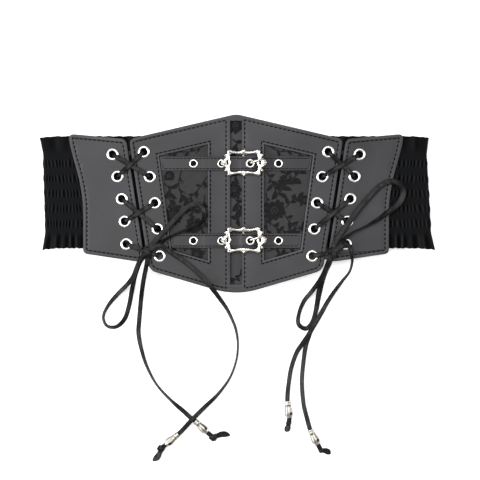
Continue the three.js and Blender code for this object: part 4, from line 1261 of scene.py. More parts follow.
@dataclass
class ElasticBand:
    """One half of the shirred band, from under the front panel round the fold to the closure."""

    hand: int
    name: str
    start_x: float = 0.0619
    fold_x: float = 0.1872
    fold_depth: float = 0.009
    top_y: float = 0.0648
    foot_y: float = -0.0427
    thickness: float = 0.0010
    middle: float = 0.0012
    pocket: float = 0.0028
    pocket_end: float = 0.1246
    closure: tuple = (0.017, 0.0023)
    fullness: float = 1.25
    slit_pitch: float = 0.0040
    slit_depth: float = 0.0022
    row_pitch: float = 0.0144
    row_half_height: float = 0.0043
    first_row: float = 0.0384
    rows: int = 5
    ruffle_top: float = 0.0475
    ruffle_foot: float = -0.0275
    slant: float = 0.026
    slant_from: float = 0.0475

    def course(self) -> list[Vector]:
        """The band's middle line, seen from below the belt: x, 0, z."""

        def under(x: float, depth: float) -> tuple[float, float]:
            """A point that far below the leather."""
            return x, ARCH.underside(x) - depth - self.middle

        top = self.fold_x - self.middle - self.fold_depth
        top_z = under(top, 0.0003)[1]
        half = (top_z - self.middle) / 2
        turn = [
            (top + self.fold_depth * math.cos(math.radians(a)), top_z - half - half * math.sin(math.radians(a)))
            for a in (-60, -30, 0, 30, 60)
        ]
        half_width, over = self.closure
        points = [
            under(self.start_x, 0.0016), under(0.0700, 0.0016), under(0.0740, self.pocket),
            under(self.pocket_end, self.pocket), under(self.pocket_end + 0.008, 0.0003),
            under(0.150, 0.0003), under(top, 0.0003), *turn, (top, self.middle), (0.120, self.middle),
            (half_width + 0.014, self.middle), (half_width + 0.0003, over + self.middle),
            (0.0003, over + self.middle),
        ]
        return smooth_line([Vector((x, 0, z)) for x, z in points], 10)

    def build(self) -> None:
        """Builds the band."""
        line = self.course()
        distances = [0.0]
        for a, b in zip(line, line[1:]):
            distances.append(distances[-1] + (b - a).length)
        total = distances[-1]
        bm = blank()
        bmesh.ops.create_grid(bm, x_segments=round(total / 0.0006), y_segments=70, size=0.5)
        layer = bm.verts.layers.float[TONE]
        for v in bm.verts:
            along, y = (v.co.x + 0.5) * total, self.foot_y + (v.co.y + 0.5) * (self.top_y - self.foot_y)
            v.co, v[layer] = self._on_band(line, distances, along, y)
        bmesh.ops.solidify(bm, geom=bm.faces[:], thickness=-self.thickness)
        if self.hand < 0:
            bmesh.ops.scale(bm, verts=bm.verts, vec=(-1, 1, 1))
        bmesh.ops.recalc_face_normals(bm, faces=bm.faces)
        piece = finished(bm, f"shirred_band_{self.name}", Finish.BAND, [f"elastic_{self.name}"], 60)

    def _on_band(self, line: list[Vector], distances: list[float], along: float, y: float) -> tuple[Vector, float]:
        """A point of the gathered band and its tone.

        Args:
            line: The middle line.
            distances: Each of its points' distance from the start.
            along: Distance along the line.
            y: Height before gathering.

        Returns:
            The point in the row's frame, and the tone there: painted shade and highlight.
        """
        i = max(1, min(len(line) - 1, bisect_left(distances, along)))
        span = max(distances[i] - distances[i - 1], 1e-9)
        point = line[i - 1].lerp(line[i], (along - distances[i - 1]) / span)
        before, after = line[max(i - 2, 0)], line[min(i + 1, len(line) - 1)]
        tangent = (after - before).normalized()
        out = Vector((-tangent.z, 0, tangent.x))
        depth, rise, tone = self._pucker(along, y)
        point += out * depth
        point.y = y + rise
        near_fold = math.exp(-(((point.x - self.fold_x) / 0.016) ** 2))
        edge = 0.75 * max(0.0, (y - self.ruffle_top) / (self.top_y - self.ruffle_top)) ** 2
        edge += 0.9 * max(0.0, (self.ruffle_foot - y) / (self.ruffle_foot - self.foot_y)) ** 1.5
        point.x += near_fold * (0.0030 * edge + self.slant * (y - self.slant_from))
        point.y -= 0.0016 * near_fold**3 * min(1.0, edge)
        point.z = max(point.z, 0.0001)
        return point, tone

    def _pucker(self, along: float, y: float) -> tuple[float, float, float]:
        """Gathering at a place: how far out the cloth stands, its edge's lift and its tone, which paints shade in the
        slits and highlight on the ridges and folds.
        """
        depth, tone = 0.0, 0.0
        for row in range(self.rows):
            offset = (y - (self.first_row - row * self.row_pitch)) / self.row_half_height
            if abs(offset) < 1:
                wander = 0.12 * math.sin(along * 410 + row * 2.1) + 0.16 * math.sin(along * 173 + row * 4.7)
                phase = along / self.slit_pitch + wander + 0.16 * offset * math.sin(along * 97 + row)
                slit = (0.5 + 0.5 * math.cos(2 * math.pi * phase)) ** 1.4
                uneven = 0.86 + 0.14 * math.sin(along * 531 + row * 1.3)
                lens = (1 - offset**2) ** 0.7
                depth += self.slit_depth * (0.30 - slit * uneven) * lens
                # Painted shade in each slit and painted highlight on the ridges between
                tone += (0.55 - 1.7 * slit * uneven) * lens
        top = max(0.0, (y - self.ruffle_top) / (self.top_y - self.ruffle_top))
        foot = max(0.0, (self.ruffle_foot - y) / (self.ruffle_foot - self.foot_y))
        edge = max(top, foot)
        if edge > 0:
            pace = 1.0 if foot else 0.62
            swing = pace * along * 760 + 1.1 * math.sin(along * 190) + (2.0 if foot else 0.0)
            fold = math.sin(swing) * 0.7 + math.sin(along * 1290 * pace + 0.7) * 0.3
            envelope = min(1.0, edge * 2.5) * (0.9 if foot else 0.5)
            depth += 0.0019 * fold * envelope
            # Painted highlight and shade on the folds of the ruffled edges
            tone += (1.15 * fold - 0.3) * envelope
        lift = (0.0003 if top else 0.0006) * edge * math.sin(along * 640 + 0.4)
        return depth, lift, tone


@dataclass
class Straps:
    """The two straps with their eyelets."""

    width: float = 0.0138
    thickness: float = 0.0014
    seat: float = 0.0023
    over_bar: float = 0.0049
    hole_step: float = 0.0272
    hump: tuple = (0.0023, 0.0063, 0.0181, 0.0198)
    slope: float = 0.009

    def rise(self, x: float) -> float:
        """Height of a strap's underside over the leather's underside at x."""
        inner = SHAPE.window_inner_x
        stations = [
            (-inner - self.slope, 0), (-inner + 0.0003, self.seat), (self.hump[0], self.seat),
            (self.hump[1], self.over_bar), (self.hump[2], self.over_bar), (self.hump[3], self.seat),
            (inner - 0.0003, self.seat), (inner + self.slope, 0),
        ]
        for (x0, z0), (x1, z1) in zip(stations, stations[1:]):
            if x0 <= x <= x1:
                t = (x - x0) / (x1 - x0)
                return z0 + (z1 - z0) * t * t * (3 - 2 * t)
        return 0.0

    def hole_places(self) -> list[float]:
        """Places of the strap's eyelets."""
        return [(k - 1.5) * self.hole_step for k in range(4)]

    def build(self) -> None:
        """Builds both straps, their seams and their eyelets."""
        seams = blank()
        for place in ("upper", "lower"):
            low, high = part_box(f"strap_{place}")
            middle = (low.y + high.y) / 2
            half = self.width / 2
            foot = SHAPE.window_edge_x(middle - half) - 0.0006
            top = SHAPE.window_edge_x(middle + half) - 0.0006
            corners = [
                Corner(-foot, middle - half, 0.0005), Corner(foot, middle - half, 0.0005),
                Corner(top, middle + half, 0.0005), Corner(-top, middle + half, 0.0005),
            ]
            plate = StrapPlate(
                f"leather_strap_{place}", rounded(corners, 3), holes=[(x, middle) for x in self.hole_places()],
                hole_radius=0.0031, thickness=self.thickness, roll=0.0005, ledge=0.0010, groove=0.0007,
                depth=0.0002, swell=0.00008, grid=0.0024,
                seam=Seam(pitch=0.0036, length=0.0027, width=0.0010, height=0.0006, reach=foot - 0.0035),
            )
            finished(plate.build(), plate.name, Finish.STRAP, [f"strap_{place}"])
            plate.stitches(seams)
            for i, x in enumerate(self.hole_places()):
                ring = Eyelet(hole=0.0026, flange=0.0043, rise=0.0009, depth=self.thickness, painted_shadow_disc=True)
                matrix = ARCH.on_front(x, middle, self.rise(x) + self.thickness + 0.0002)
                ring.build(f"strap_ring_{place}_{i + 1}", f"strap_eyelet_{place}_{i + 1}", matrix)
        finished(seams, "strap_seams", Finish.SEAM)


class StrapPlate(Plate):
    """A strap, which dips into the windows and humps over its buckle's bar."""

    def lift(self, x: float, y: float) -> float:
        """Height of the strap's underside."""
        return ARCH.underside(x) + STRAPS.rise(x)


STRAPS = Straps()


@dataclass
class Eyelet:
    """A pressed metal eyelet."""

    hole: float = 0.0034
    flange: float = 0.0060
    rise: float = 0.0013
    depth: float = 0.002
    painted_shadow_disc: bool = False

    def build(self, name: str, node: str, matrix: Matrix) -> None:
        """Builds the eyelet.

        Args:
            name: The piece's name.
            node: The CAD node that it stands for.
            matrix: Its place, with its seat's level at the origin.
        """
        band = self.flange - self.hole
        profile = [
            (self.hole + band * 0.10, -self.depth - 0.0002), (self.hole, -self.depth * 0.6),
            (self.hole, self.rise * 0.05), (self.hole + band * 0.05, self.rise * 0.5),
            (self.hole + band * 0.18, self.rise * 0.84), (self.hole + band * 0.38, self.rise),
            (self.hole + band * 0.62, self.rise * 0.94), (self.hole + band * 0.84, self.rise * 0.66),
            (self.hole + band * 0.97, self.rise * 0.3), (self.flange, 0.0001),
            (self.flange - band * 0.1, 0), (self.hole + band * 0.28, 0),
            (self.hole + band * 0.2, -self.depth * 0.6), (self.hole + band * 0.18, -self.depth - 0.0002),
        ]
        bm = blank()
        spun(bm, profile, 28)
        # Painted shade on the barrel and at the foot of the flange
        shade(bm, [v for v in bm.verts if v.co.z < self.rise * 0.4], -0.6)
        # A dark disc in the hole, as painted shadow of the hole's depth
        if self.painted_shadow_disc:
            level = Matrix.Translation((0, 0, -self.depth * 0.6))
            disc = bmesh.ops.create_circle(bm, cap_ends=True, radius=self.hole, segments=14, matrix=level)["verts"]
            shade(bm, disc, -1.4)
        bmesh.ops.transform(bm, matrix=matrix, verts=bm.verts)
        finished(bm, name, Finish.CHROME, [node], 60)


@dataclass
class LacingEyelets:
    """The twenty eyelets of the lacing."""

    seat: float = 0.0022

    def build(self) -> None:
        """Builds them column by column."""
        for hand, side in ((-1, "left"), (1, "right")):
            for column in ("front", "side"):
                for row, (x, y) in enumerate(SHAPE.eyelets(hand, column)):
                    matrix = ARCH.on_front(x, y, self.seat)
                    label = f"{side}_{column}_{row + 1}"
                    Eyelet().build(f"ring_{label}", f"eyelet_{label}", matrix)


@dataclass
class Buckle:
    """A cast buckle with scrolled corners and pierced sides, and its prong."""

    place: str
    centre_x: float = 0.0075
    above_strap: float = 0.0007
    seat: float = 0.0051
    thickness: float = 0.0022
    bar_half_width: float = 0.0012
    bar_seat: float = 0.0037
    # A quarter of the outline and of the opening, from the top's middle round to the side
    outline: tuple = (
        (0.0000, 0.0138), (0.0009, 0.0128), (0.0022, 0.0115), (0.0042, 0.0108), (0.0078, 0.0110),
        (0.0112, 0.0118), (0.0136, 0.0126), (0.0154, 0.0121), (0.0161, 0.0104), (0.0156, 0.0088),
        (0.0172, 0.0088), (0.0187, 0.0076), (0.0184, 0.0060), (0.0172, 0.0050), (0.0186, 0.0042),
        (0.0200, 0.0034), (0.0214, 0.0022), (0.0223, 0.0000),
    )
    opening: tuple = (
        (0.0000, 0.0076), (0.0016, 0.0078), (0.0050, 0.0080), (0.0096, 0.0086), (0.0118, 0.0084),
        (0.0130, 0.0070), (0.0133, 0.0046), (0.0128, 0.0022), (0.0120, 0.0000),
    )

    def build(self) -> None:
        """Builds the buckle and its prong on the strap."""
        low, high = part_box(f"strap_{self.place}")
        place = ARCH.on_front(self.centre_x, (low.y + high.y) / 2 + self.above_strap, 0)
        bm = blank()
        self._frame(bm)
        self._ornament(bm)
        self._bar(bm)
        bmesh.ops.transform(bm, matrix=place, verts=bm.verts)
        finished(bm, f"cast_buckle_{self.place}", Finish.CAST, [f"buckle_{self.place}"], 50)
        bm = blank()
        self._prong(bm)
        bmesh.ops.transform(bm, matrix=place, verts=bm.verts)
        finished(bm, f"cast_prong_{self.place}", Finish.CAST, [f"prong_{self.place}"], 60)

    def _around(self, quarter: Sequence[tuple[float, float]], steps: int) -> list[Vector]:
        """A whole smooth outline, anticlockwise, from its first quarter."""
        right = [Vector((x, y, 0)) for x, y in reversed(quarter)]
        left = [Vector((-p.x, p.y, 0)) for p in reversed(right[:-1])]
        upper = right + left
        lower = [Vector((-p.x, -p.y, 0)) for p in upper[1:-1]]
        return smooth_line(upper + lower, steps, closed=True)

    def _frame(self, bm: BMesh) -> None:
        """Adds the domed frame with its opening and its two piercings."""
        outlines = [self._around(self.outline, 2), self._around(self.opening, 3)[::-1]]
        for hand in (1, -1):
            outlines.append(
                [
                    Vector((hand * 0.0156 + 0.0010 * math.sin(t * 0.785), 0.0020 * math.cos(t * 0.785), 0))
                    for t in range(8)
                ]
            )
        for points in outlines:
            verts = [bm.verts.new(point) for point in points]
            for i, vert in enumerate(verts):
                bm.edges.new((verts[i - 1], vert))
        under = fill_flat(bm, bm.edges[:])
        grown = bmesh.ops.extrude_face_region(bm, geom=under, use_keep_orig=True)["geom"]
        over = only(BMFace, grown)
        bmesh.ops.translate(bm, verts=only(BMVert, grown), vec=(0, 0, self.thickness * 0.35))
        # Painted shade on the walls and the underside, then painted highlight rising over the steps of the top
        shade(bm, bm.verts, -1)
        for inwards, upwards, tone in ((0.00012, 0.0004, -0.5), (0.0002, 0.0003, 0), (0.0003, 0.0002, 0.3)):
            bmesh.ops.inset_region(
                bm, faces=over, use_boundary=True, use_even_offset=True, thickness=inwards, depth=upwards
            )
            shade(bm, {v for f in over for v in f.verts}, tone)
        bmesh.ops.recalc_face_normals(bm, faces=bm.faces)
        bmesh.ops.translate(bm, verts=bm.verts, vec=(0, 0, self.seat))

    def _ornament(self, bm: BMesh) -> None:
        """Adds knobs, finials and scrolls on the frame."""
        top = self.seat + self.thickness * 0.75
        for across in (1, -1):
            for up in (1, -1):
                ball(bm, Vector((across * 0.0143, up * 0.0108, top)), (0.0016, 0.0013, 0.0011), across * up * 0.7)
                ball(bm, Vector((across * 0.0175, up * 0.0073, top)), (0.0013, 0.0012, 0.0013))
                ball(bm, Vector((across * 0.0192, up * 0.0020, top)), (0.0015, 0.0010, 0.0010), across * up * -0.6)
                self._scroll(bm, across, up, top)
            ball(bm, Vector((across * 0.0204, 0, top)), (0.0017, 0.0010, 0.0012))
        for up in (1, -1):
            ball(bm, Vector((0, up * 0.0112, top)), (0.0011, 0.0020, 0.0012))
            for across in (1, -1):
                ball(bm, Vector((across * 0.0017, up * 0.0096, top)), (0.0014, 0.0009, 0.0010), across * up * -0.5)

    def _scroll(self, bm: BMesh, across: int, up: int, top: float) -> None:
        """Adds the leafy rib that curls from a corner down the side and along the bar."""
        side = [(0.0146, 0.0100), (0.0148, 0.0074), (0.0158, 0.0054), (0.0170, 0.0036), (0.0186, 0.0030), (0.0200, 0.0016)]
        inner = [(0.0144, 0.0070), (0.0142, 0.0046), (0.0134, 0.0020), (0.0128, 0.0000)]
        along = [(0.0138, 0.0108), (0.0108, 0.0102), (0.0072, 0.0095), (0.0040, 0.0094), (0.0018, 0.0098)]
        for course, size in ((side, 0.0013), (inner, 0.0010), (along, 0.0015)):
            line = smooth_line([Vector((across * x, up * y, top + 0.0003)) for x, y in course], 4)
            widths = [1.0 - 0.45 * i / len(line) for i in range(len(line))]
            sweep(bm, line, [Vector((0, 1, 0.2))] * len(line), Section(size, size, 8, 1), widths)

    def _bar(self, bm: BMesh) -> None:
        """Adds the bar under the strap, all in painted shade."""
        half = 0.0094
        points = [
            (-half, self.seat + 0.0004), (-half + 0.0016, self.bar_seat + 0.0007), (-half + 0.0036, self.bar_seat + 0.0005),
            (half - 0.0036, self.bar_seat + 0.0005), (half - 0.0016, self.bar_seat + 0.0007), (half, self.seat + 0.0004),
        ]
        line = smooth_line([Vector((0, y, z)) for y, z in points], 4)
        part = blank()
        sweep(part, line, [Vector((1, 0, 0))] * len(line), Section(2 * self.bar_half_width, 0.001, 8, 0.8))
        # Painted shade over the whole bar
        shade(part, part.verts, -1)
        join(bm, part)

    def _prong(self, bm: BMesh) -> None:
        """Adds the prong: hooked round the bar, up through the strap's eyelet and over the frame."""
        points = [
            (-0.0020, 0, 0.0042), (-0.0021, 0, 0.0036), (-0.0012, 0, 0.0029), (0.0036, 0, 0.0028), (0.0048, 0, 0.0039),
            (0.0060, 0.0001, 0.0062), (0.0077, 0.0004, 0.0080), (0.0098, 0.0010, 0.0086), (0.0130, 0.0018, 0.0086),
            (0.0160, 0.0025, 0.0083), (0.0188, 0.0030, 0.0080),
        ]
        line = smooth_line([Vector(p) for p in points], 4)
        widths = [1.0 + 0.35 * math.sin(math.pi * i / len(line)) - 0.3 * (i / len(line)) ** 6 for i in range(len(line))]
        sweep(bm, line, [Vector((0, 1, 0))] * len(line), Section(0.0017, 0.0012, 10, 0.9), widths)


@dataclass
class Lacing:
    """The lace through the ten eyelets of one side, and the middle of its bow."""

    side: str
    hand: int
    knot: tuple
    front_on_top: bool
    front_exit: float
    side_exit: float
    width: float = 0.0046
    thickness: float = 0.0012
    roll: float = 35
    rim_top: float = 0.0035
    behind: float = -0.0017

    def build(self) -> None:
        """Builds the strands and the knot."""
        front, side = SHAPE.eyelets(self.hand, "front"), SHAPE.eyelets(self.hand, "side")
        bm = blank()
        for row, (a, b) in enumerate(zip(front, front[1:])):
            if row in (0, 2):
                over = 1 if self.front_on_top else 0
                self._strand(bm, front[row], side[row + 1], over)
                self._strand(bm, side[row], front[row + 1], 1 - over)
        for a, b in ((front[0], side[0]), (front[1], front[2]), (side[1], side[2]), (side[3], side[4]), (front[3], front[4])):
            self._strand(bm, a, b, -1)
        for lowest, exit_angle in ((front[4], self.front_exit), (side[4], self.side_exit)):
            self._to_knot(bm, lowest, exit_angle)
        self._knot(bm)
        streak(bm)
        finished(bm, f"lace_{self.side}", Finish.CORD, [f"lacing_{self.side}"], 60)

    def _strip(self, bm: BMesh, points: Sequence[Vector], along: Vector, turn: float = 0) -> None:
        """Adds one strand.

        Args:
            bm: The mesh that takes it.
            points: Its middle line.
            along: Its direction on the belt.
            turn: Degrees by which it is rolled at its far end.
        """
        part = blank()
        line = smooth_line(points, 5)
        last = len(line) - 1
        sideways = UP.cross(along).normalized()
        across = [
            Matrix.Rotation(math.radians(turn * i / last + 9 * math.sin(i * 0.9)), 3, along) @ sideways
            for i in range(len(line))
        ]
        widths = [0.58 + 0.44 * math.sin(math.pi * i / last) for i in range(len(line))]
        sweep(part, line, across, Section(self.width, self.thickness, 12, 0.55, -1.7), widths)
        join(bm, part)

    def _strand(self, bm: BMesh, a: tuple, b: tuple, layer: int) -> None:
        """Adds a strand between two eyelets.

        Args:
            bm: The mesh.
            a: The eyelet that it leaves.
            b: The eyelet that it enters.
            layer: 1 over its partner, 0 under it, -1 behind the leather.
        """
        start, end = Vector((*a, 0)), Vector((*b, 0))
        along = (end - start).normalized()
        reach = (end - start).length
        if layer < 0:
            steps = [(0.0010, -0.0006), (0.0028, self.behind), (reach - 0.0028, self.behind), (reach - 0.0010, -0.0006)]
        else:
            arch = self.rim_top + 0.0008
            middle = 0.0031 + 0.0016 * layer
            steps = [
                (-0.0004, -0.0008), (0.0008, 0.0018), (0.0022, self.rim_top - 0.0002), (0.0048, arch),
                (0.0085, arch * 0.55 + middle * 0.45), (reach / 2, middle), (reach - 0.0085, arch * 0.55 + middle * 0.45),
                (reach - 0.0048, arch), (reach - 0.0022, self.rim_top - 0.0002), (reach - 0.0008, 0.0018),
                (reach + 0.0004, -0.0008),
            ]
        points = []
        for step, height in steps:
            p = start + along * step
            points.append(Vector((p.x, p.y, ARCH.underside(p.x) + height)))
        self._strip(bm, points, along, self.roll if layer == 1 else 0)

    def _to_knot(self, bm: BMesh, lowest: tuple, exit_angle: float) -> None:
        """Adds the end of the lace between the lowest eyelet and the knot."""
        angle = math.radians(exit_angle)
        centre = Vector(self.knot)
        start = centre + Vector((math.cos(angle), math.sin(angle), 0)) * 0.003
        end = Vector((*lowest, 0))
        along = Vector((end.x - start.x, end.y - start.y, 0)).normalized()
        level = ARCH.underside(end.x)
        points = [
            Vector((start.x, start.y, centre.z - 0.0006)),
            Vector((start.x, start.y, centre.z - 0.0006)) + along * 0.004,
            Vector((end.x, end.y, level + self.rim_top + 0.0010)) - along * 0.0050,
            Vector((end.x, end.y, level + self.rim_top - 0.0002)) - along * 0.0022,
            Vector((end.x, end.y, level + 0.0018)) - along * 0.0008,
            Vector((end.x, end.y, level - 0.0008)),
        ]
        self._strip(bm, points, along)

    def _knot(self, bm: BMesh) -> None:
        """Adds the wraps at the middle of the bow."""
        centre = Vector(self.knot)
        for size, tilt, rise in ((0.0050, 0.5, 0), (0.0044, -0.75, 0.0004), (0.0036, 1.7, 0.0002)):
            part = blank()
            turn = Matrix.Rotation(tilt, 3, "Z")
            angles = [2 * math.pi * k / 24 for k in range(24)]
            line = [
                centre + turn @ Vector((0.0012 * math.sin(2 * t), size * math.sin(t), 0.0024 * math.cos(t) + rise))
                for t in angles
            ]
            across = [turn @ Vector((1, 0.25 * math.cos(t), 0.3 * math.sin(t))) for t in angles]
            sweep(part, line, across, Section(self.width * 0.8, self.thickness, 12, 0.6, -0.6), closed=True)
            join(bm, part)
        # A lump in the knot's middle, in painted shade
        part = blank()
        ball(part, centre - UP * 0.0006, (0.0038, 0.0038, 0.0018))
        shade(part, part.verts, -0.8)
        join(bm, part)


@dataclass
class FreeLace:
    """A loop or a tail of a bow: a flat lace that follows a given route."""

    name: str
    route: tuple
    bead: tuple = ()
    knot: tuple = ()
    tip: tuple = ()
    knot_scale: float = 1.0
    width: float = 0.0045
    thickness: float = 0.0012
    diameter: float = 0.004
    broad: float = 1.0

    def build(self) -> None:
        points = [Vector((x, y, max(z, self.half_height(roll)))) for x, y, z, roll in self.route]
        line = smooth_line(points, 5)
        turns = [step[0] for step in smooth_line([Vector((p[3], 0)) for p in self.route], 5)]
        across = []
        for i, _ in enumerate(line):
            along = (line[min(i + 1, len(line) - 1)] - line[max(i - 1, 0)]).normalized()
            level = Vector((-along.y, along.x, 0)).normalized()
            across.append(Matrix.Rotation(math.radians(turns[i]), 3, along) @ level)
        bm = blank()
        sweep(bm, line, across, Section(self.width * self.broad, self.thickness, 12, 0.5, -1.7))
        streak(bm)
        piece = finished(bm, f"cord_{self.name}", Finish.CORD, [self.name], 60)
        length = sum((b - a).length for a, b in zip(line, line[1:]))
        fittings = [self._bead(), self._end_knot()] if self.knot else []
        [tuple(p) for p in line]
        LOG.info("%s: %.3f m of lace", self.name, length)

    def _cut_end(self, bm: BMesh, centre: Vector, tip: Vector) -> None:
        """Adds the twisted end of the lace that stands out of its knot."""
        bend = centre.lerp(tip, 0.55) + UP.cross(tip - centre) * 0.12
        bend.z = centre.z * 0.6
        line = smooth_line([centre, bend, tip], 8)
        last = len(line) - 1
        along = (tip - centre).normalized()
        flat = UP.cross(along).normalized()
        across = [Matrix.Rotation(0.45 * math.sin(math.pi * i / last), 3, along) @ flat for i in range(last + 1)]
        shares = [i / last for i in range(last + 1)]
        widths = [(0.72 + 0.42 * math.sin(math.pi * t**1.4)) * (1 - 0.6 * t**7) for t in shares]
        part = blank()
        sweep(part, line, across, Section(self.width * 1.2, self.thickness * 1.5, 10, 0.6, -0.8), widths)
        for v in part.verts:
            v.co.z = max(v.co.z, 0.0001)
        join(bm, part)

    def _side_hole(self, bm: BMesh) -> None:
        """Adds the lace that shows in the small hole in the bead's side."""
        (x0, y0), (x1, y1) = self.bead
        along = Vector((x1 - x0, y1 - y0, 0)).normalized()
        middle = Vector((x0, y0, 0.00376)) + along * 0.0121 + UP.cross(along) * 0.0016
        ball(bm, middle + UP * 0.0026, (0.0017, 0.0017, 0.0011))

    def half_height(self, roll: float) -> float:
        """Half the height of the lace when it is rolled by that many degrees."""
        turn = math.radians(abs(roll))
        return (self.width * math.sin(turn) + self.thickness * math.cos(turn)) / 2 + 0.0001

    def _bead(self) -> bpy.types.Object:
        """Builds the fluted silver bead."""
        (x0, y0), (x1, y1) = self.bead
        length = 0.016
        profile = [
            (0.0022, 0), (0.0029, 0.0002), (0.0031, 0.0010), (0.0028, 0.0018), (0.0032, 0.0026), (0.0031, 0.0036),
            (0.0028, 0.0042), (0.0032, 0.0062), (0.0038, 0.0086), (0.0042, 0.0106), (0.0041, 0.0126),
            (0.0036, 0.0142), (0.0031, 0.0148), (0.0032, 0.0155), (0.0029, length), (0.0022, length),
        ]
        bm = blank()
        spun(bm, profile, 28)
        for v in bm.verts:
            angle = math.atan2(v.co.y, v.co.x)
            groove = 0.0
            if 0.0044 < v.co.z < 0.0140:
                groove = (0.5 + 0.5 * math.cos(7 * angle)) ** 2
                v.co.x *= 1 - 0.12 * groove
                v.co.y *= 1 - 0.12 * groove
            # Painted shade in the hole and in the flutes
            shade(bm, [v], -0.8 if math.hypot(v.co.x, v.co.y) < 0.00285 else -1.1 * groove)
        bmesh.ops.scale(bm, verts=bm.verts, vec=(1, 0.86, 1))
        along = Vector((x1 - x0, y1 - y0, 0)).normalized()
        basis = Matrix((UP.cross(along), UP, along)).transposed().to_4x4()
        place = Matrix.Translation((x0, y0, 0.00376)) @ basis
        bmesh.ops.transform(bm, matrix=place, verts=bm.verts)
        node = self.name.replace("tail", "bead")
        return finished(bm, f"silver_{node}", Finish.BEAD, [node], 50)

    def _end_knot(self) -> bpy.types.Object:
        """Builds the knot below the bead with the lace's cut end."""
        radii = Vector((0.0046, 0.0040, 0.0030)) * self.knot_scale
        centre = Vector((*self.knot, radii.z + 0.00015))
        tip = Vector((*self.tip, 0.0011))
        heading = math.atan2(tip.y - centre.y, tip.x - centre.x)
        turn = Matrix.Rotation(heading, 3, "Z")
        bm = blank()
        line, across = [], []
        for k in range(48):
            t = 2 * math.pi * k / 48
            p = Vector((math.sin(t) + 2 * math.sin(2 * t), math.cos(t) - 2 * math.cos(2 * t), -math.sin(3 * t)))
            line.append(centre + turn @ Vector((p.x / 3 * radii.x * 0.72, p.y / 3 * radii.y * 0.72, p.z * radii.z * 0.4)))
            across.append(turn @ Vector((math.cos(2 * t), math.sin(2 * t), 0.6)))
        sweep(bm, line, across, Section(0.0036 * self.knot_scale, 0.0015, 10, 0.7, -0.6), closed=True)
        ball(bm, centre, tuple(radii * 0.85))
        self._cut_end(bm, centre, tip)
        self._side_hole(bm)
        node = self.name.replace("tail", "end_knot")
        return finished(bm, f"tied_{node}", Finish.CORD, [node], 60)


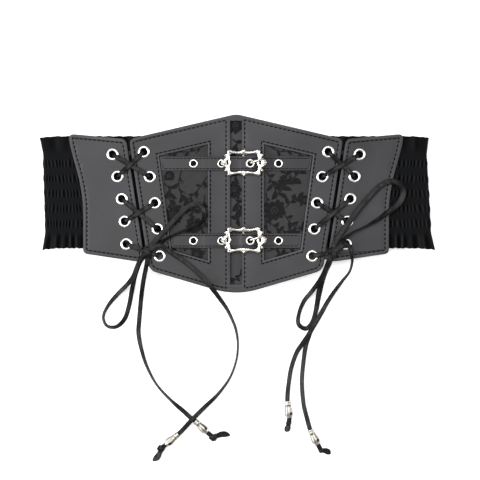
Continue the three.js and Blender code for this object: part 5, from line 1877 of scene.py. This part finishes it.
# Routes of the free laces, in metres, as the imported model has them: x, y, z and degrees of roll
ROUTES = {
    "left_loop_up": (
        (-0.0854, -0.0466, 0.0255, 0), (-0.0796, -0.0386, 0.0258, 0), (-0.0716, -0.0296, 0.026, 0),
        (-0.0616, -0.0186, 0.0256, 0), (-0.0532, -0.0096, 0.0256, 0), (-0.0466, -0.0036, 0.0255, 0),
        (-0.0397, -0.0009, 0.0256, 0), (-0.0335, -0.0032, 0.0257, 15), (-0.0304, -0.0093, 0.0258, 40),
        (-0.0321, -0.0158, 0.0261, 70), (-0.0384, -0.0206, 0.0263, 80), (-0.0483, -0.0248, 0.0262, 82),
        (-0.0604, -0.0304, 0.0256, 78), (-0.0696, -0.0356, 0.025, 60), (-0.0774, -0.0410, 0.0246, 30),
        (-0.0854, -0.0466, 0.0244, 0),
    ),
    "left_loop_down": (
        (-0.0854, -0.0466, 0.0264, 20), (-0.0912, -0.0526, 0.0258, 40), (-0.0948, -0.0600, 0.024, 40),
        (-0.0986, -0.0696, 0.0176, 20), (-0.1050, -0.0782, 0.0098, 10), (-0.1140, -0.0870, 0.0038, 20),
        (-0.1234, -0.0982, 0.0019, 50), (-0.1282, -0.1094, 0.0017, 62), (-0.1246, -0.1180, 0.0013, 58),
        (-0.1156, -0.1188, 0.001, 45), (-0.1076, -0.1112, 0.001, 15), (-0.1034, -0.0988, 0.0011, 0),
        (-0.1008, -0.0854, 0.0028, 0), (-0.0982, -0.0736, 0.0094, 0), (-0.0950, -0.0636, 0.0178, 20),
        (-0.0920, -0.0566, 0.0229, 40), (-0.0854, -0.0466, 0.0235, 20),
    ),
    "left_tail_inner": (
        (-0.0846, -0.0466, 0.0252, 0), (-0.0850, -0.0548, 0.0243, 0), (-0.0864, -0.0620, 0.0224, 0),
        (-0.0882, -0.0700, 0.016, 0), (-0.0899, -0.0791, 0.0082, 0), (-0.0914, -0.0890, 0.0026, 0),
        (-0.0926, -0.1016, 0.0009, 0), (-0.0936, -0.1136, 0.0009, 0), (-0.0942, -0.1244, 0.0009, 0),
        (-0.0918, -0.1386, 0.0013, 38), (-0.0864, -0.1562, 0.0018, 56), (-0.0766, -0.1748, 0.0018, 68),
        (-0.0624, -0.1902, 0.0013, 58), (-0.0504, -0.2006, 0.0014, 12), (-0.0440, -0.2064, 0.0026, 0),
        (-0.0394, -0.2098, 0.00375, 0), (-0.0328, -0.2158, 0.00375, 0), (-0.0262, -0.2219, 0.00375, 0),
        (-0.0224, -0.2254, 0.0034, 0),
    ),
    "left_tail_outer": (
        (-0.0854, -0.0466, 0.0272, 0), (-0.0798, -0.0428, 0.0276, 0), (-0.0728, -0.0404, 0.027, 0),
        (-0.0666, -0.0440, 0.0262, 0), (-0.0570, -0.0506, 0.0252, 0), (-0.0470, -0.0574, 0.0252, 0),
        (-0.0322, -0.0706, 0.0257, 0), (-0.0214, -0.0834, 0.026, 10), (-0.0148, -0.0924, 0.021, 28),
        (-0.0086, -0.1016, 0.014, 46), (-0.0036, -0.1120, 0.0066, 58), (-0.0002, -0.1216, 0.0028, 66),
        (0.0017, -0.1346, 0.0023, 73), (0.0003, -0.1504, 0.0023, 75), (-0.0058, -0.1675, 0.0022, 73),
        (-0.0173, -0.1836, 0.002, 60), (-0.0304, -0.1964, 0.0034, 25), (-0.0386, -0.2044, 0.0054, 0),
        (-0.0446, -0.2106, 0.0052, 0), (-0.0506, -0.2172, 0.004, 0), (-0.0556, -0.2222, 0.00375, 0),
        (-0.0620, -0.2276, 0.00375, 0), (-0.0682, -0.2329, 0.00375, 0), (-0.0720, -0.2356, 0.0034, 0),
    ),
    "right_loop_up": (
        (0.0926, -0.0473, 0.0258, 0), (0.0940, -0.0394, 0.0256, 0), (0.0984, -0.0316, 0.0246, 0),
        (0.1040, -0.0240, 0.0236, 0), (0.1164, -0.0072, 0.0226, 0), (0.1306, 0.0090, 0.0202, 0),
        (0.1396, 0.0174, 0.0189, 0), (0.1485, 0.0212, 0.018, 0), (0.1568, 0.0190, 0.0169, 10),
        (0.1612, 0.0114, 0.0156, 10), (0.1574, 0.0014, 0.0159, 10), (0.1486, -0.0064, 0.0179, 20),
        (0.1366, -0.0150, 0.0204, 58), (0.1224, -0.0230, 0.0218, 80), (0.1116, -0.0278, 0.0233, 80),
        (0.1048, -0.0332, 0.025, 60), (0.0996, -0.0392, 0.0255, 30), (0.0926, -0.0473, 0.0252, 0),
    ),
    "right_loop_down": (
        (0.0926, -0.0473, 0.0268, 0), (0.0882, -0.0566, 0.0262, 0), (0.0848, -0.0658, 0.0207, 0),
        (0.0800, -0.0748, 0.013, 0), (0.0732, -0.0844, 0.0062, 10), (0.0656, -0.0940, 0.0026, 30),
        (0.0606, -0.1066, 0.0018, 45), (0.0604, -0.1164, 0.0015, 25), (0.0670, -0.1206, 0.001, 0),
        (0.0730, -0.1156, 0.001, 0), (0.0774, -0.1024, 0.0011, 0), (0.0802, -0.0884, 0.0019, 0),
        (0.0836, -0.0736, 0.0086, 0), (0.0872, -0.0630, 0.0176, 0), (0.0900, -0.0566, 0.0228, 0),
        (0.0926, -0.0473, 0.0233, 0),
    ),
    "right_tail_inner": (
        (0.0926, -0.0473, 0.025, 0), (0.0890, -0.0566, 0.0245, 0), (0.0854, -0.0658, 0.0184, 0),
        (0.0816, -0.0756, 0.0104, 0), (0.0796, -0.0860, 0.005, 0), (0.0782, -0.0956, 0.003, 0),
        (0.0766, -0.1054, 0.0027, 0), (0.0740, -0.1166, 0.0026, 0), (0.0708, -0.1266, 0.0014, 0),
        (0.0676, -0.1364, 0.0009, 0), (0.0652, -0.1516, 0.0014, 25), (0.0636, -0.1712, 0.0016, 30),
        (0.0652, -0.1934, 0.0016, 30), (0.0688, -0.2084, 0.0025, 10), (0.0716, -0.2181, 0.00375, 0),
        (0.0756, -0.2257, 0.00375, 0), (0.0795, -0.2333, 0.00375, 0), (0.0816, -0.2372, 0.0033, 0),
    ),
    "right_tail_outer": (
        (0.0926, -0.0473, 0.0268, 0), (0.0988, -0.0434, 0.0273, 0), (0.1044, -0.0394, 0.0264, 0),
        (0.1088, -0.0410, 0.0249, 20), (0.1108, -0.0474, 0.0234, 50), (0.1114, -0.0562, 0.0223, 70),
        (0.1090, -0.0656, 0.016, 70), (0.1030, -0.0738, 0.0092, 60), (0.0954, -0.0840, 0.0034, 40),
        (0.0882, -0.0950, 0.0018, 20), (0.0828, -0.1046, 0.0032, 0), (0.0786, -0.1118, 0.0044, 0),
        (0.0742, -0.1192, 0.0044, 0), (0.0696, -0.1270, 0.0034, 0), (0.0644, -0.1346, 0.0025, 0),
        (0.0586, -0.1436, 0.0012, 10), (0.0532, -0.1590, 0.0015, 25), (0.0507, -0.1746, 0.0016, 25),
        (0.0498, -0.1830, 0.0024, 10), (0.0496, -0.1906, 0.00375, 0), (0.0505, -0.1986, 0.00375, 0),
        (0.0514, -0.2066, 0.00375, 0), (0.0510, -0.2110, 0.0033, 0),
    ),
}

# Where each bead starts and ends on its tail, the knot below it, the lace's cut end, and the knot's size
TAIL_ENDS = {
    "left_tail_inner": {
        "bead": ((-0.0394, -0.2098), (-0.0262, -0.2219)), "knot": (-0.0220, -0.2256),
        "tip": (-0.0058, -0.2234), "knot_scale": 1.0,
    },
    "left_tail_outer": {
        "bead": ((-0.0556, -0.2222), (-0.0682, -0.2329)), "knot": (-0.0724, -0.2364),
        "tip": (-0.0804, -0.2482), "knot_scale": 1.0,
    },
    "right_tail_inner": {
        "bead": ((0.0716, -0.2181), (0.0795, -0.2333)), "knot": (0.0820, -0.2380),
        "tip": (0.0912, -0.2416), "knot_scale": 0.66,
    },
    "right_tail_outer": {
        "bead": ((0.0496, -0.1906), (0.0514, -0.2066)), "knot": (0.0508, -0.2120),
        "tip": (0.0474, -0.2198), "knot_scale": 0.66,
    },
}


@dataclass
class Laces:
    """Both lacings with their bows."""

    lacings: tuple = (
        Lacing("left", -1, (-0.0854, -0.0466, 0.0254), True, -17, 159),
        Lacing("right", 1, (0.0926, -0.0473, 0.0249), False, 189, 22),
    )

    # Laces that lie broader than the others
    broad: dict = field(default_factory=lambda: {"right_loop_up": 1.25, "left_loop_up": 1.12})

    def build_free(self) -> None:
        """Builds the loops and the tails."""
        for name, route in ROUTES.items():
            FreeLace(name, route, broad=self.broad.get(name, 1.0), **TAIL_ENDS.get(name, {})).build()

    def build_held(self) -> None:
        """Builds the laced strands and the knots."""
        for lacing in self.lacings:
            lacing.build()


@dataclass
class Studio:
    """Floor, soft lights and the camera straight above the belt."""

    middle: tuple = (0.00384, -0.03504)
    view_width: float = 0.4608
    panel_height: float = 0.02
    # The floor gives no light of its own under the middle of the belt and is painted a dark greenish shadow colour
    # there, where only its eyelets show it
    shaded_size: tuple = (0.092, 0.054)
    lens: float = 250
    sensor: float = 36

    def camera(self) -> None:
        """Makes the camera, looking straight down with the belt's top at the top."""
        data = bpy.data.cameras.new("above")
        data.lens, data.sensor_width = self.lens, self.sensor
        camera = bpy.data.objects.new("above", data)
        distance = self.view_width * self.lens / self.sensor
        camera.location = (*self.middle, self.panel_height + distance)
        bpy.context.scene.collection.objects.link(camera)
        bpy.context.scene.camera = camera

    def lights(self) -> None:
        """Makes a wide soft light overhead, a stronger one on the left, a weak one on the right, and the surround."""
        self._area("overhead", (-0.5, 0.9, 3.7), 2.2, 95)
        self._area("left_side", (-1.3, -0.25, 1.0), 0.8, 21)
        self._area("right_side", (1.4, 0.2, 0.8), 0.8, 10)
        scene = bpy.context.scene
        scene.world = bpy.data.worlds.new("surround")
        scene.world.use_nodes = True
        background = scene.world.node_tree.nodes["Background"]
        background.inputs["Color"].default_value = (1, 1, 1, 1)
        background.inputs["Strength"].default_value = 0.35
        scene.view_settings.view_transform = "Standard"

    def _area(self, name: str, place: tuple, size: float, power: float) -> None:
        """Adds a square area light that faces the belt."""
        data = bpy.data.lights.new(name, "AREA")
        data.size, data.energy = size, power
        light = bpy.data.objects.new(name, data)
        light.location = place
        light.rotation_euler = (Vector((0, -0.03, 0.01)) - Vector(place)).to_track_quat("-Z", "Y").to_euler()
        bpy.context.scene.collection.objects.link(light)

    def floor(self) -> None:
        """Makes the pale surface that the belt lies on: it glows outside a box round the middle of the belt and is
        painted a dark shadow colour inside it.
        """
        shader = Shader("pale_surface")
        x = shader.add("ShaderNodeSeparateXYZ", {}, {0: shader.place()}, "X")
        y = shader.add("ShaderNodeSeparateXYZ", {}, {0: shader.place()}, "Y")
        across = x.larger(0 - x) * (1 / self.shaded_size[0])
        clear = across.larger(y.larger(0 - y) * (1 / self.shaded_size[1])).above(1)
        # Painted shadow colour inside the box, pale and glowing outside it
        shader.set(Base_Color=shader.ramp(clear, (0.24, 0.25, 0.21), (0.93, 0.93, 0.93)))
        shader.set(Roughness=0.9, Specular_IOR_Level=0.1)
        shader.set(Emission_Color=shader.ramp(clear, (0, 0, 0), (1, 1, 1)), Emission_Strength=0.45)
        bm = blank()
        bmesh.ops.create_grid(bm, x_segments=1, y_segments=1, size=3)
        mesh = bpy.data.meshes.new("surface")
        bm.to_mesh(mesh)
        bm.free()
        mesh.materials.append(shader.material)
        floor = bpy.data.objects.new("surface", mesh)
        bpy.context.scene.collection.objects.link(floor)


def main() -> None:
    """Builds the scene: camera and cords first, then the rest of the belt, then floor and lights."""
    logging.basicConfig(level=logging.INFO, format="%(message)s")
    studio = Studio()
    studio.camera()
    laces = Laces()
    laces.build_free()
    Panels().build()
    Lining().build()
    ElasticBand(-1, "left", slit_pitch=0.0035).build()
    ElasticBand(1, "right", slant=-0.055, slant_from=0.010).build()
    STRAPS.build()
    for place in ("upper", "lower"):
        Buckle(place).build()
    LacingEyelets().build()
    laces.build_held()
    studio.floor()
    studio.lights()


if __name__ == "__main__":
    main()
